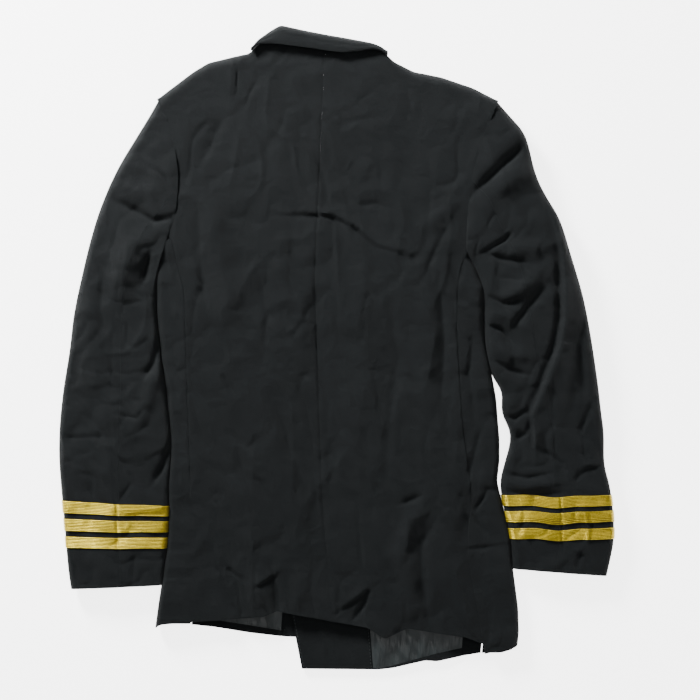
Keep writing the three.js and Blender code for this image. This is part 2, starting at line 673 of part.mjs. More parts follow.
// A point on a sleeve's flattened ring. Around it, t runs from the outer fold, over the upper
// cloth, round the inner fold and back beneath; out moves the point off the cloth.
const RING = { cap: 0.08, flat: 0.34 };
function sleevePoint(table, at, t, out) {
  const { ox, oy, ix, iy, bow, under, high } = sleeveSection(table, at);
  const width = Math.hypot(ix - ox, iy - oy);
  const round = high * SLEEVE_CAP;
  const half = high / 2;
  const { cap, flat } = RING;
  const turn = t - Math.floor(t);
  let along;
  let z;
  if (turn <= cap || turn >= 1 - cap) {
    const angle = ((turn > 0.5 ? turn - 1 : turn) / cap) * (Math.PI / 2);
    along = round - (round + out) * Math.cos(angle);
    z = half + (half + out) * Math.sin(angle);
  } else if (turn < cap + flat) {
    const across = (turn - cap) / flat;
    along = lerp(round, width - round, across);
    z = high + out + SLEEVE_CROWN * Math.sin(Math.PI * across);
  } else if (turn <= 3 * cap + flat) {
    const angle = ((turn - cap - flat) / cap - 1) * (Math.PI / 2);
    along = width - round + (round + out) * Math.cos(angle);
    z = half - (half + out) * Math.sin(angle);
  } else {
    const across = (turn - 3 * cap - flat) / flat;
    along = lerp(width - round, round, across);
    z = -out;
  }
  const share = clamp(along / width, 0, 1);
  const bowed = 4 * share * (1 - share) * bow;
  const [cx, cy] = [(ix - ox) / width, (iy - oy) / width];
  const x = ox + cx * along - cy * bowed;
  const y = oy + cy * along + cx * bowed;
  const top = clamp((z / high - 0.5) * 2, 0, 1);
  return [x, y, under + z + foldHeight(x, y) * top];
}

function ringSteps(from, to) {
  const { cap, flat } = RING;
  const marks = [0, cap / 2, cap];
  for (const t of steps(5).slice(1)) marks.push(cap + t * flat);
  for (const t of steps(4).slice(1)) marks.push(cap + flat + t * 2 * cap);
  for (const t of steps(3).slice(1)) marks.push(3 * cap + flat + t * flat);
  marks.push(1 - cap / 2);
  const all = [...marks, ...marks.map((t) => t + 1)];
  const near = 0.012;
  return [from, ...all.filter((t) => t > from + near && t < to - near), to];
}

function sleeve(side, table) {
  const { cap, flat } = RING;
  const hind = cap + flat * HIND_SEAM;
  const fore = 3 * cap + flat + flat * FORE_SEAM;
  const gap = 0.0007; // about half of a seam's gap, round the ring
  const panel = (name, from, to) => {
    const grid = table.map((_, at) =>
      ringSteps(from, to).map((t) => [sleevePoint(table, at, t, 0), sleevePoint(table, at, t, -WALL)]),
    );
    return piece(name, wall(grid), shell);
  };
  return [
    panel(`sleeve_${side}_top`, fore + gap, 1 + hind - gap),
    panel(`sleeve_${side}_under`, hind + gap, fore - gap),
  ];
}

// The place in a sleeve's table that lies a distance up from the cuff's hem.
function sleevePlace(table, distance) {
  let left = distance;
  for (let index = table.length - 1; index > 0; index--) {
    const [a, b] = [table[index], table[index - 1]];
    const length = Math.hypot(a.ox + a.ix - b.ox - b.ix, a.oy + a.iy - b.oy - b.iy) / 2;
    if (left <= length) return index - left / length;
    left -= length;
  }
  return 0;
}

// Bands of lace go right round each sleeve, on its cloth.
function laceBands(side, table, lowest) {
  return steps(LACE_BAND.count - 1).map((_, band) => {
    const from = lowest + band * LACE_BAND.pitch;
    const lower = sleevePlace(table, from);
    const upper = sleevePlace(table, from + LACE_BAND.width);
    const between = table.map((_, at) => at).filter((at) => at > upper && at < lower);
    const places = [upper, ...between, lower];
    const outer = places.map((at) => [at, SEAM + LACE]);
    const inner = places.map((at) => [at, SEAM]).reverse();
    const corners = [...outer, ...inner];
    const around = ringSteps(0, 1).slice(0, -1);
    const positions = corners.flatMap(([at, out]) => around.flatMap((t) => sleevePoint(table, at, t, out)));
    const index = [];
    const count = around.length;
    for (let corner = 0; corner < corners.length; corner++) {
      const here = corner * count;
      const next = ((corner + 1) % corners.length) * count;
      for (let i = 0; i < count; i++) {
        const after = (i + 1) % count;
        index.push(here + i, here + after, next + after, here + i, next + after, next + i);
      }
    }
    return piece(`lace_${side}_${band + 1}`, facingOut(positions, index), lace);
  });
}

const LACE_LOWEST = { left: 47, right: 40 };

const jacket = new THREE.Group();
jacket.add(...backPanels(), sidePanel("left"), sidePanel("right"), ...fronts(), ...insides());
jacket.add(lapel("left"), lapel("right"), ...buttons(), collarLeaf(), collarStand());
jacket.add(...sleeve("left", SLEEVE_LEFT), ...sleeve("right", SLEEVE_RIGHT));
jacket.add(...laceBands("left", SLEEVE_LEFT, LACE_LOWEST.left));
jacket.add(...laceBands("right", SLEEVE_RIGHT, LACE_LOWEST.right));

export default jacket;
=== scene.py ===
"""Finish of a double-breasted service dress jacket that lies face down, its back up.

Lengths in the tables are millimetres and MM turns them into the frame's metres. +X is the wearer's
right, +Y the collar and +Z up from the surface.
"""

import logging
import math
from dataclasses import dataclass
from enum import Enum
from typing import Callable

import bpy
import numpy as np
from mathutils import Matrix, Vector


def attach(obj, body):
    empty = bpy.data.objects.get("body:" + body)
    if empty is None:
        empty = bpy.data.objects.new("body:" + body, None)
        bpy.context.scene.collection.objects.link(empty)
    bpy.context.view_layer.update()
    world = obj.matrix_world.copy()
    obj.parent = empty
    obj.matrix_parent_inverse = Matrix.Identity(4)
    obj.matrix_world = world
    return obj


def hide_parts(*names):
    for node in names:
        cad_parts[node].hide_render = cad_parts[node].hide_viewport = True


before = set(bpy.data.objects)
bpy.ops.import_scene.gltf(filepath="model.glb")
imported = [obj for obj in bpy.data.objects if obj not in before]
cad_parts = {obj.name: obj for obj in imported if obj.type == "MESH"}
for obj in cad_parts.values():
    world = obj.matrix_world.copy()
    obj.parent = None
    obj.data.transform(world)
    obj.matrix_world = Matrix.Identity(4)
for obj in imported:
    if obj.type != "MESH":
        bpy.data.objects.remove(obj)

Array = np.ndarray
Surface = Callable[[Array, Array], Array]

MM = 0.001
BODY_NAME = "root"
WALL = 1.6
LINING = 1.0
SEAM = 0.15
FRONT_LIFT = 3.3
OVERLAP_X = 75.0
BREAK_Y = 60.0
SIDE_WRAP = 42.0
UNDERARM_RISE = 26.0
VENT_LAP = 15.0
VENT_DROP = 2.7
VENT_EASE = 14.0
VENT_SLOPE, VENT_FLAT = 22.0, 4.0
SEWN_LAP, SEWN_DROP, SEWN_EASE = 1.2, 1.9, 20.0
ARMHOLE_REACH = 28.0
CENTRE_GAP = 0.02
FACING_SHARE = 0.4

log = logging.getLogger("jacket")


class Side(Enum):
    """The wearer's side a piece belongs to, and which way is inwards from it."""

    LEFT = 1
    RIGHT = -1

    @property
    def word(self) -> str:
        """Name of the side as node names use it."""
        return self.name.lower()


class Crease(Enum):
    """Cross-section of a fold in the cloth."""

    RIDGE = "ridge"
    TROUGH = "trough"
    LIP = "lip"


def smooth(value: Array, low: float, high: float) -> Array:
    """Ease from 0 at low to 1 at high.

    Args:
        value: Where to read.
        low: Place of the 0.
        high: Place of the 1, which may be the smaller of the two.

    Returns:
        Values from 0 to 1.
    """
    t = np.clip((value - low) / (high - low), 0.0, 1.0)
    return t * t * (3.0 - 2.0 * t)


def mix(a: Array, b: Array, t: Array) -> Array:
    """Blend from a to b by t."""
    return a + (b - a) * t


@dataclass(frozen=True)
class Curve:
    """A measured curve through (place, value) pairs, with its corners softened."""

    pairs: tuple[tuple[float, float], ...]
    soft: float = 8.0

    def __call__(self, place: Array) -> Array:
        """Read the curve.

        Args:
            place: Where to read.

        Returns:
            The curve's values there.
        """
        ordered = sorted(self.pairs)
        at = np.array([pair[0] for pair in ordered])
        value = np.array([pair[1] for pair in ordered])
        shifts = (-1.0, -0.5, 0.0, 0.5, 1.0)
        weights = (0.12, 0.24, 0.28, 0.24, 0.12)
        place = np.asarray(place, dtype=float)
        reads = [w * np.interp(place + s * self.soft, at, value) for s, w in zip(shifts, weights)]
        return np.sum(reads, axis=0)


@dataclass(frozen=True)
class Stroke:
    """One fold, along a few given points."""

    kind: Crease
    half: float
    rise: float
    points: tuple[tuple[float, float], ...]

    def height(self, x: Array, y: Array) -> Array:
        """Height that the fold adds to the cloth.

        Args:
            x: Places across.
            y: Places along.

        Returns:
            Added height.
        """
        best = np.full(np.shape(x), 1e9)
        side = np.zeros(np.shape(x))
        share = np.zeros(np.shape(x))
        count = len(self.points) - 1
        for index, ((x0, y0), (x1, y1)) in enumerate(zip(self.points, self.points[1:])):
            dx, dy = x1 - x0, y1 - y0
            length = math.hypot(dx, dy)
            t = np.clip(((x - x0) * dx + (y - y0) * dy) / length**2, 0.0, 1.0)
            gap = np.hypot(x - x0 - t * dx, y - y0 - t * dy)
            near = gap < best
            best = np.where(near, gap, best)
            side = np.where(near, ((x - x0) * dy - (y - y0) * dx) / length, side)
            share = np.where(near, (index + t) / count, share)
        fade = np.sin(np.pi * np.clip(share, 0.04, 0.96)) ** 0.55
        ratio = best / self.half
        if self.kind is Crease.RIDGE:
            shape = np.exp(-(ratio**2))
        elif self.kind is Crease.TROUGH:
            shape = -1.0 / (1.0 + (1.6 * ratio) ** 2) ** 1.5
        else:
            shape = np.where(side < 0, np.exp(-(ratio**1.5)), np.exp(-((ratio * 4.0) ** 2)))
            shape = shape - 0.55 * np.exp(-(((side - 0.55 * self.half) / (0.35 * self.half)) ** 2))
            shape = shape * np.exp(-((ratio / 2.2) ** 4))
        return self.rise * shape * fade


def ripple(x: Array, y: Array, size: float, seed: int) -> Array:
    """Smooth unevenness between -1 and 1.

    Args:
        x: Places across.
        y: Places along.
        size: Distance between its hills.
        seed: Which unevenness.

    Returns:
        Heights between -1 and 1.
    """
    lattice = np.random.default_rng(seed).uniform(-1.0, 1.0, (64, 64))
    u = x / size + 31.7
    v = y / size + 17.3
    i = np.floor(u).astype(int)
    j = np.floor(v).astype(int)
    fu = smooth(u - i, 0.0, 1.0)
    fv = smooth(v - j, 0.0, 1.0)
    a = lattice[i % 64, j % 64]
    b = lattice[(i + 1) % 64, j % 64]
    c = lattice[i % 64, (j + 1) % 64]
    d = lattice[(i + 1) % 64, (j + 1) % 64]
    return mix(mix(a, b, fu), mix(c, d, fu), fv)


def crumple(x: Array, y: Array, size: float, seed: int) -> Array:
    """Sharp little creases between soft hollows, from 0 to 1.

    Args:
        x: Places across.
        y: Places along.
        size: Distance between creases.
        seed: Which crumple.

    Returns:
        Heights, 1 on the creases.
    """
    bent_x = x + size * 0.45 * ripple(x, y, size * 1.7, seed + 100)
    bent_y = y + size * 0.45 * ripple(x, y, size * 1.9, seed + 200)
    field = ripple(bent_x, bent_y, size, seed) + 0.4 * ripple(bent_x, bent_y, size * 0.5, seed + 1)
    return np.clip(1.0 - 2.1 * np.abs(field), 0.0, 1.0) ** 1.3


RIDGE, TROUGH, LIP = Crease.RIDGE, Crease.TROUGH, Crease.LIP

BACK_FOLDS = (
    Stroke(LIP, 9, 2.6, ((-66, 168), (-40, 168), (-3, 165), (27, 148), (48, 129), (90, 117))),
    Stroke(TROUGH, 7, 2.4, ((-28, 236), (-16, 217), (-10, 172))),
    Stroke(TROUGH, 6, 2.2, ((27, 176), (45, 178), (68, 171))),
    Stroke(TROUGH, 6, 1.6, ((8, 275), (33, 280), (52, 283))),
    Stroke(RIDGE, 15, 4.2, ((-152, 215), (-147, 141), (-134, 80), (-131, 20))),
    Stroke(TROUGH, 13, 3.4, ((-140, 284), (-152, 250), (-168, 222))),
    Stroke(TROUGH, 9, 2.6, ((-170, 180), (-166, 110), (-158, 40))),
    Stroke(TROUGH, 7, 3.0, ((-140, -26), (-124, -57))),
    Stroke(RIDGE, 16, 4.4, ((-104, -52), (-78, -120), (-39, -230))),
    Stroke(TROUGH, 11, 2.6, ((-78, -60), (-50, -140), (-14, -220))),
    Stroke(TROUGH, 9, 2.4, ((-128, -90), (-112, -160), (-86, -232))),
    Stroke(TROUGH, 6, 2.6, ((38, -290), (27, -326))),
    Stroke(LIP, 7, 2.4, ((2, -316), (20, -304), (42, -287))),
    Stroke(TROUGH, 5, 2.0, ((16, -334), (40, -301))),
    Stroke(RIDGE, 11, 5.0, ((108, -180), (82, -227), (77, -244), (84, -273), (90, -318))),
    Stroke(TROUGH, 10, 3.2, ((128, -196), (103, -236), (104, -290), (112, -335))),
    Stroke(TROUGH, 6, 2.8, ((74, -189), (106, -176))),
    Stroke(TROUGH, 6, 2.4, ((-137, -265), (-111, -283))),
    Stroke(LIP, 7, 2.6, ((-101, -287), (-75, -273))),
    Stroke(TROUGH, 11, 5.0, ((-80, -268), (-74, -296), (-72, -330))),
    Stroke(RIDGE, 9, 3.4, ((-104, -280), (-95, -318))),
    Stroke(RIDGE, 9, 3.0, ((-46, -272), (-50, -322))),
    Stroke(TROUGH, 6, 3.0, ((170, -193), (189, -165))),
    Stroke(TROUGH, 6, 2.6, ((170, -205), (184, -228))),
    Stroke(TROUGH, 5, 2.2, ((160, -243), (200, -239))),
    Stroke(TROUGH, 14, 2.2, ((-22, 110), (-26, 40), (-12, -60), (-8, -150))),
    Stroke(RIDGE, 15, 2.2, ((20, 90), (34, 10), (30, -90), (46, -180))),
    Stroke(TROUGH, 12, 2.4, ((62, 84), (74, -10), (62, -110), (58, -190))),
    Stroke(RIDGE, 13, 2.8, ((100, 96), (106, 20), (112, -70), (134, -150))),
    Stroke(TROUGH, 9, 2.6, ((124, 92), (130, 20), (128, -60))),
    Stroke(TROUGH, 8, 2.6, ((140, 160), (118, 118), (104, 84))),
    Stroke(RIDGE, 10, 2.6, ((150, 190), (120, 160), (96, 142))),
    Stroke(TROUGH, 8, 2.0, ((-95, 96), (-84, 40), (-92, -20))),
    Stroke(RIDGE, 18, 2.2, ((-70, 120), (-62, 40), (-58, -30))),
    Stroke(TROUGH, 9, 2.4, ((172, 40), (160, -30), (170, -90))),
    Stroke(TROUGH, 8, 2.2, ((190, -70), (172, -110), (160, -160))),
    Stroke(TROUGH, 8, 2.2, ((-200, -20), (-176, -60), (-160, -120))),
    Stroke(TROUGH, 3, 1.0, ((-14, 366), (-20, 240), (-27, 90), (-22, -40), (-18, -180), (-5, -336))),
    Stroke(TROUGH, 3, 1.6, ((-214, 296), (-200, 226), (-194, 176), (-200, 140))),
    Stroke(TROUGH, 3, 1.6, ((192, 292), (172, 226), (164, 180), (160, 130))),
)
LEFT_SLEEVE_FOLDS = (
    Stroke(TROUGH, 9, 6.5, ((-280, 186), (-243, 168), (-222, 156), (-194, 162))),
    Stroke(RIDGE, 11, 3.0, ((-272, 204), (-240, 192), (-208, 186))),
    Stroke(TROUGH, 5, 2.8, ((-242, 227), (-216, 216), (-205, 204))),
    Stroke(RIDGE, 13, 5.0, ((-222, 142), (-252, 122), (-262, 85), (-264, 55))),
    Stroke(TROUGH, 8, 7.0, ((-226, 118), (-232, 100), (-236, 80))),
    Stroke(TROUGH, 8, 6.0, ((-216, 12), (-223, -16), (-237, -38))),
    Stroke(RIDGE, 9, 4.0, ((-214, -20), (-227, -50), (-246, -98))),
    Stroke(TROUGH, 8, 5.0, ((-202, -110), (-211, -140), (-226, -166))),
    Stroke(TROUGH, 6, 2.6, ((-284, 4), (-269, -35), (-250, -73))),
    Stroke(TROUGH, 5, 2.6, ((-268, -78), (-243, -83), (-233, -70))),
    Stroke(TROUGH, 5, 2.2, ((-302, -80), (-286, -99), (-293, -118))),
    Stroke(TROUGH, 4, 1.8, ((-338, -106), (-315, -107), (-290, -105))),
    Stroke(TROUGH, 5, 2.2, ((-265, -184), (-249, -161))),
    Stroke(RIDGE, 12, 3.0, ((-300, 90), (-304, 30), (-296, -40))),
    Stroke(TROUGH, 9, 3.0, ((-283, 100), (-288, 50), (-280, 14))),
    Stroke(RIDGE, 10, 2.6, ((-272, -110), (-276, -150), (-262, -186))),
    Stroke(TROUGH, 8, 2.4, ((-310, -130), (-298, -160), (-300, -190))),
    Stroke(TROUGH, 7, 2.0, ((-246, -250), (-250, -286))),
    Stroke(TROUGH, 3, 1.2, ((-258, 120), (-272, 20), (-276, -80), (-268, -180), (-266, -288))),
)
RIGHT_SLEEVE_FOLDS = (
    Stroke(TROUGH, 11, 7.0, ((162, 186), (203, 226), (230, 250))),
    Stroke(RIDGE, 11, 3.6, ((178, 178), (214, 208), (238, 222))),
    Stroke(TROUGH, 7, 5.0, ((176, 117), (203, 133), (213, 143))),
    Stroke(TROUGH, 7, 5.0, ((178, 118), (205, 110), (236, 106))),
    Stroke(RIDGE, 9, 4.0, ((204, 122), (240, 124), (274, 136))),
    Stroke(LIP, 13, 7.0, ((266, 158), (275, 124), (277, 80), (277, 38), (271, 4), (252, -46), (238, -81))),
    Stroke(LIP, 8, 4.6, ((238, -80), (241, -101), (241, -121))),
    Stroke(TROUGH, 6, 3.6, ((246, -122), (259, -126), (272, -138), (276, -152))),
    Stroke(TROUGH, 9, 6.0, ((256, 80), (232, 52), (210, 22))),
    Stroke(RIDGE, 9, 4.6, ((250, 98), (222, 74), (196, 60))),
    Stroke(TROUGH, 6, 5.0, ((182, 66), (204, 56), (224, 60))),
    Stroke(RIDGE, 7, 4.0, ((184, 46), (206, 40), (226, 28))),
    Stroke(TROUGH, 6, 6.0, ((184, 30), (200, 24), (214, 8))),
    Stroke(RIDGE, 8, 4.0, ((190, 8), (210, -6), (234, -8))),
    Stroke(TROUGH, 6, 5.0, ((190, -12), (210, -24), (232, -30))),
    Stroke(TROUGH, 6, 4.4, ((198, -78), (216, -84), (232, -72))),
    Stroke(TROUGH, 7, 4.0, ((212, -110), (230, -102), (238, -84))),
    Stroke(TROUGH, 6, 3.4, ((203, -150), (232, -156), (262, -150))),
    Stroke(RIDGE, 6, 2.8, ((204, -160), (236, -166), (270, -162))),
    Stroke(TROUGH, 5, 3.0, ((204, -171), (240, -178), (276, -173))),
    Stroke(TROUGH, 6, 2.6, ((328, -141), (304, -146), (288, -160))),
    Stroke(TROUGH, 8, 3.0, ((304, 60), (296, 0), (300, -60))),
    Stroke(RIDGE, 10, 2.6, ((288, 20), (280, -40), (270, -90))),
    Stroke(TROUGH, 7, 2.6, ((312, -60), (298, -96), (300, -124))),
    Stroke(TROUGH, 6, 2.0, ((300, -236), (292, -270))),
    Stroke(TROUGH, 3, 1.2, ((262, 20), (262, -90), (272, -180), (276, -270))),
)

BODY_LEFT = Curve(((400, -221), (105, -221), (75, -222), (30, -219), (5, -216), (-60, -208), (-110, -203),
                   (-135, -203), (-160, -207), (-190, -206), (-225, -207), (-270, -212), (-315, -219),
                   (-345, -223), (-400, -219)))
BODY_RIGHT = Curve(((400, 159.6), (121, 159.6), (105, 168), (75, 181), (30, 180), (5, 183), (-60, 195),
                    (-110, 199), (-135, 199), (-160, 196), (-190, 203), (-225, 212), (-270, 216),
                    (-315, 222), (-345, 223), (-400, 217)), soft=4)
BODY_HIGH = Curve(((400, 27), (105, 27), (75, 25), (30, 23), (-60, 20), (-160, 18), (-270, 16),
                   (-400, 13)), soft=20)
TOP_LINE = Curve(((-219, 305), (-171, 341), (-156, 350), (-123, 358), (-106, 361), (-96, 370), (-79, 376),
                  (-36, 371), (8, 365), (44, 367), (56, 363), (69, 351), (94, 339), (126, 333), (165, 320),
                  (197, 303)), soft=4)
TOP_ROLL = Curve(((-219, 13), (-123, 13), (-106, 8), (-96, 2), (56, 2), (69, 8), (94, 13),
                  (197, 13)), soft=3)
SIDE_SEAM = {
    Side.LEFT: Curve(((137, -202), (73, -186), (-61, -183), (-189, -178), (-207, -167), (-238, -155),
                      (-293, -135), (-323, -118), (-345, -110))),
    Side.RIGHT: Curve(((121, 159), (100, 151), (75, 147), (24, 146), (-85, 153), (-150, 162), (-185, 165),
                       (-215, 161), (-246, 160), (-301, 169), (-370, 181))),
}
SEAM_TOP = {Side.LEFT: 137.0, Side.RIGHT: 121.0}
VENT_TOP = {Side.LEFT: -189.0, Side.RIGHT: -179.0}
CENTRE_SEAM = Curve(((370, -14), (90, -27), (-180, -18), (-340, -5)), soft=30)
BACK_HEM = Curve(((-178, -328), (-91, -326), (-71, -319), (-40, -325), (14, -335), (38, -339), (58, -353),
                  (86, -340), (156, -351), (190, -366)), soft=3)
LEFT_HEM = Curve(((-221, -338), (-192, -336), (-150, -340), (-107, -347), (-64, -352), (75, -356)))
LEFT_TURN = Curve(((-221, 8), (-107, 9), (-64, 7), (75, 7)))
RIGHT_HEM = Curve(((-43, -391), (51, -392), (69, -390), (108, -381), (123, -382), (151, -376), (181, -371),
                   (217, -374)), soft=3)
RIGHT_TURN = Curve(((-43, 1), (51, 1), (69, 3), (108, 5), (123, 10), (151, 10), (217, 8)), soft=3)
LAPEL_WIDE = Curve(((64, 8), (86, 34), (110, 52), (150, 72), (190, 84), (235, 95), (262, 99), (283, 48),
                    (310, 34), (338, 22)), soft=2)


@dataclass(frozen=True)
class Armhole:
    """An armhole seam: an arc from the shoulder to the underarm."""

    shoulder: tuple[float, float]
    underarm: tuple[float, float]
    bow: float

    def across(self, y: Array) -> Array:
        """Place of the seam at a height up the body."""
        t = np.clip((self.shoulder[1] - y) / (self.shoulder[1] - self.underarm[1]), 0.0, 1.0)
        return mix(self.shoulder[0], self.underarm[0], t) + 4.0 * t * (1.0 - t) * self.bow


ARMHOLES = {
    Side.LEFT: Armhole((-219, 305), (-221, 105), 25),
    Side.RIGHT: Armhole((197, 303), (159, 121), -11),
}
BODY_FOLD = {Side.LEFT: BODY_LEFT, Side.RIGHT: BODY_RIGHT}


def fold_sum(strokes: tuple[Stroke, ...], x: Array, y: Array) -> Array:
    """Add up the folds of one stretch of cloth.

    Args:
        strokes: The folds.
        x: Places across.
        y: Places along.

    Returns:
        Their height.
    """
    x, y = np.broadcast_arrays(x, y)
    total = np.zeros(x.shape)
    for stroke in strokes:
        total = total + stroke.height(x, y)
    return total


def back_height(x: Array, y: Array) -> Array:
    """Height of the upper cloth of the body."""
    x, y = np.broadcast_arrays(x, y)
    uneven = 0.9 * ripple(x * 2.2, y, 62, 3) + 0.5 * ripple(x, y, 27, 5) + 0.16 * ripple(x, y, 9, 8)
    creases = 1.9 * crumple(x, y * 0.5, 44, 21) - 1.5 * crumple(x, y * 0.6, 30, 25)
    folds = 1.15 * fold_sum(BACK_FOLDS, x, y) + uneven + creases + 0.6 * crumple(x, y, 15, 29)
    return BODY_HIGH(y) + np.maximum(folds, -4.0)


def left_lift(x: Array, y: Array) -> Array:
    """Height of the left front's outer face."""
    return FRONT_LIFT * smooth(x, -188, -156) * smooth(y, -275, -150)


def right_lift(x: Array, y: Array) -> Array:
    """Height of the right front's outer face."""
    own = FRONT_LIFT * smooth(x, 164, 128) * smooth(y, -275, -150)
    return own + (WALL + 0.3) * smooth(x, 160, 120)


FRONT_FACE = {Side.LEFT: left_lift, Side.RIGHT: right_lift}


def side_wrap(side: Side, y: Array) -> Array:
    """How far in the side panel reaches beneath."""
    return mix(16.0, SIDE_WRAP, smooth(ARMHOLES[side].underarm[1] + UNDERARM_RISE - y, 0, 60))


def front_seam(side: Side, y: Array) -> Array:
    """Place of a front's seam with its side panel, or with its sleeve."""
    low = ARMHOLES[side].underarm[1]
    armhole = ARMHOLES[side].across(y) + side.value * 2.0
    easing = 3.0 * smooth(y, low - 60, low - 20)
    seam = BODY_FOLD[side](y) + side.value * (side_wrap(side, y) + 1.6 + easing)
    return mix(armhole, seam, smooth(y, low + 75, low + 37))


def front_edge(side: Side, y: Array) -> Array:
    """Place of a front's free edge, straight below the break and slanting to the neck above it."""
    neck = -92.0 if side is Side.LEFT else 56.0
    above = mix(side.value * OVERLAP_X, neck, (y - BREAK_Y) / (352.0 - BREAK_Y))
    below = np.full(np.shape(y), OVERLAP_X)
    if side is Side.RIGHT:
        below = np.interp(-np.asarray(y, dtype=float), (-60, 320, 391), (-OVERLAP_X, -57.0, -43.0))
    return np.where(np.asarray(y) >= BREAK_Y, above, below)


class Weave:
    """Turns grids of points into meshes."""

    @staticmethod
    def wall(name: str, outer: Array, inner: Array) -> bpy.types.Object:
        """Close two grids of points, one each side of the cloth, into a wall.

        Args:
            name: Name of the piece.
            outer: Grid of outer points, in millimetres.
            inner: Grid of inner points, in millimetres.

        Returns:
            The piece.
        """
        rows, columns = outer.shape[:2]
        points = np.concatenate([outer.reshape(-1, 3), inner.reshape(-1, 3)]) * MM
        index = np.arange(rows * columns).reshape(rows, columns)
        far = index + rows * columns
        quads = [
            np.stack([index[:-1, :-1], index[1:, :-1], index[1:, 1:], index[:-1, 1:]], -1).reshape(-1, 4),
            np.stack([far[:-1, :-1], far[:-1, 1:], far[1:, 1:], far[1:, :-1]], -1).reshape(-1, 4),
            np.stack([index[:-1, 0], far[:-1, 0], far[1:, 0], index[1:, 0]], -1),
            np.stack([index[:-1, -1], index[1:, -1], far[1:, -1], far[:-1, -1]], -1),
            np.stack([index[0, :-1], index[0, 1:], far[0, 1:], far[0, :-1]], -1),
            np.stack([index[-1, :-1], far[-1, :-1], far[-1, 1:], index[-1, 1:]], -1),
        ]
        return Weave.mesh(name, points, np.concatenate(quads))

    @staticmethod
    def mesh(name: str, points: Array, faces: Array) -> bpy.types.Object:
        """Make a smooth mesh object whose faces point out.

        Args:
            name: Name of the piece.
            points: Points, in metres.
            faces: Four corner numbers for each face.

        Returns:
            The piece.
        """
        a, b, c, d = (points[faces[:, k]] for k in range(4))
        volume = np.sum(a * np.cross(b, c)) + np.sum(a * np.cross(c, d))
        if volume < 0:
            faces = faces[:, ::-1]
        data = bpy.data.meshes.new(name)
        data.from_pydata(points.tolist(), [], faces.tolist())
        data.validate()
        data.polygons.foreach_set("use_smooth", [True] * len(data.polygons))
        data.set_sharp_from_angle(angle=math.radians(50))
        piece = bpy.data.objects.new(name, data)
        bpy.context.scene.collection.objects.link(piece)
        return piece

    @staticmethod
    def thread(name: str, paths: list[Array], closed: bool) -> bpy.types.Object:
        """Make a mesh of edges only, for Geometry Nodes to follow.

        Args:
            name: Name of the piece.
            paths: Lists of points, in millimetres.
            closed: Whether each path joins its own start.

        Returns:
            The piece.
        """
        points: list[list[float]] = []
        edges: list[tuple[int, int]] = []
        for path in paths:
            first = len(points)
            points.extend((path * MM).tolist())
            edges.extend((first + i, first + i + 1) for i in range(len(path) - 1))
            if closed:
                edges.append((first + len(path) - 1, first))
        data = bpy.data.meshes.new(name)
        data.from_pydata(points, edges, [])
        piece = bpy.data.objects.new(name, data)
        bpy.context.scene.collection.objects.link(piece)
        return piece


def lay_panel(
    left: Callable[[Array], Array],
    right: Callable[[Array], Array],
    top: Array,
    hem: Array,
    face: Surface,
    up: int,
    rows: int,
) -> tuple[Array, Array]:
    """Lay a panel between two side edges, a top line that rounds over the shoulder, and a hem.

    Args:
        left: Place of its left edge.
        right: Place of its right edge.
        top: Heights of its top line, one for each column.
        hem: Heights of its hem, one for each column.
        face: Height of its outer face.
        up: 1 for the upper cloth, -1 for the lower.
        rows: How many rows it has below the shoulder.

    Returns:
        Its outer and its inner points.
    """
    u = np.linspace(0.0, 1.0, len(top))[:, None]
    top, hem = top[:, None], hem[:, None]

    def place(y: Array) -> Array:
        return mix(left(y), right(y), u)

    roll = np.clip(TOP_ROLL(place(top)), 1.8, 13.0)
    flat = top - roll
    arc = np.linspace(0.0, math.pi / 2, 8)[None, :]
    y = flat + roll * np.cos(arc)
    x = place(y)
    level = face(x, flat)
    to_middle = np.abs(level - BODY_HIGH(y) / 2)
    drop = np.minimum(roll * 1.05, to_middle) if up > 0 else to_middle
    middle = level - up * drop + up * SEAM
    outer_arc = np.stack([x, y, middle + (level - middle) * np.sin(arc)], -1)
    inner_y = flat + np.maximum(roll - WALL, 0.4) * np.cos(arc)
    inner_z = middle + (level - up * WALL - middle) * np.sin(arc)
    inner_arc = np.stack([place(inner_y), inner_y, inner_z], -1)
    v = np.linspace(0.0, 1.0, rows + 1)[None, 1:]
    y = mix(flat, hem, v)
    x = place(y)
    z = face(x, y)
    outer_fall = np.stack([x, y, z], -1)
    inner_fall = np.stack([x, y, z - up * WALL], -1)
    return np.concatenate([outer_arc, outer_fall], 1), np.concatenate([inner_arc, inner_fall], 1)


def settle(
    piece: bpy.types.Object, material: bpy.types.Material, nodes: tuple[str, ...]
) -> None:
    """Dress a piece, tie it to the jacket and hide the nodes that it stands for.

    Args:
        piece: The piece.
        material: Its finish.
        nodes: The nodes that it replaces.
    """
    piece.data.materials.clear()
    piece.data.materials.append(material)
    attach(piece, BODY_NAME)
    if nodes:
        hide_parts(*nodes)
    log.info("%s: %d faces", piece.name, len(piece.data.polygons))


def surface_area(piece: bpy.types.Object) -> float:
    """Measure a piece's surface, both sides of the cloth together."""
    return sum(polygon.area for polygon in piece.data.polygons)


class Val:
    """A shader socket that can be used in arithmetic."""

    def __init__(self, tree: "Shader", socket: bpy.types.NodeSocket) -> None:
        """Wrap a socket of a shader's tree."""
        self.tree = tree
        self.socket = socket

    def _math(self, operation: str, a: object, b: object) -> "Val":
        """Add a Math node for two values."""
        return self.tree.node("ShaderNodeMath", {"operation": operation}, {0: a, 1: b})

    def __add__(self, other: object) -> "Val":
        """Add."""
        return self._math("ADD", self, other)

    def __mul__(self, other: object) -> "Val":
        """Multiply."""
        return self._math("MULTIPLY", self, other)

    __radd__ = __add__
    __rmul__ = __mul__


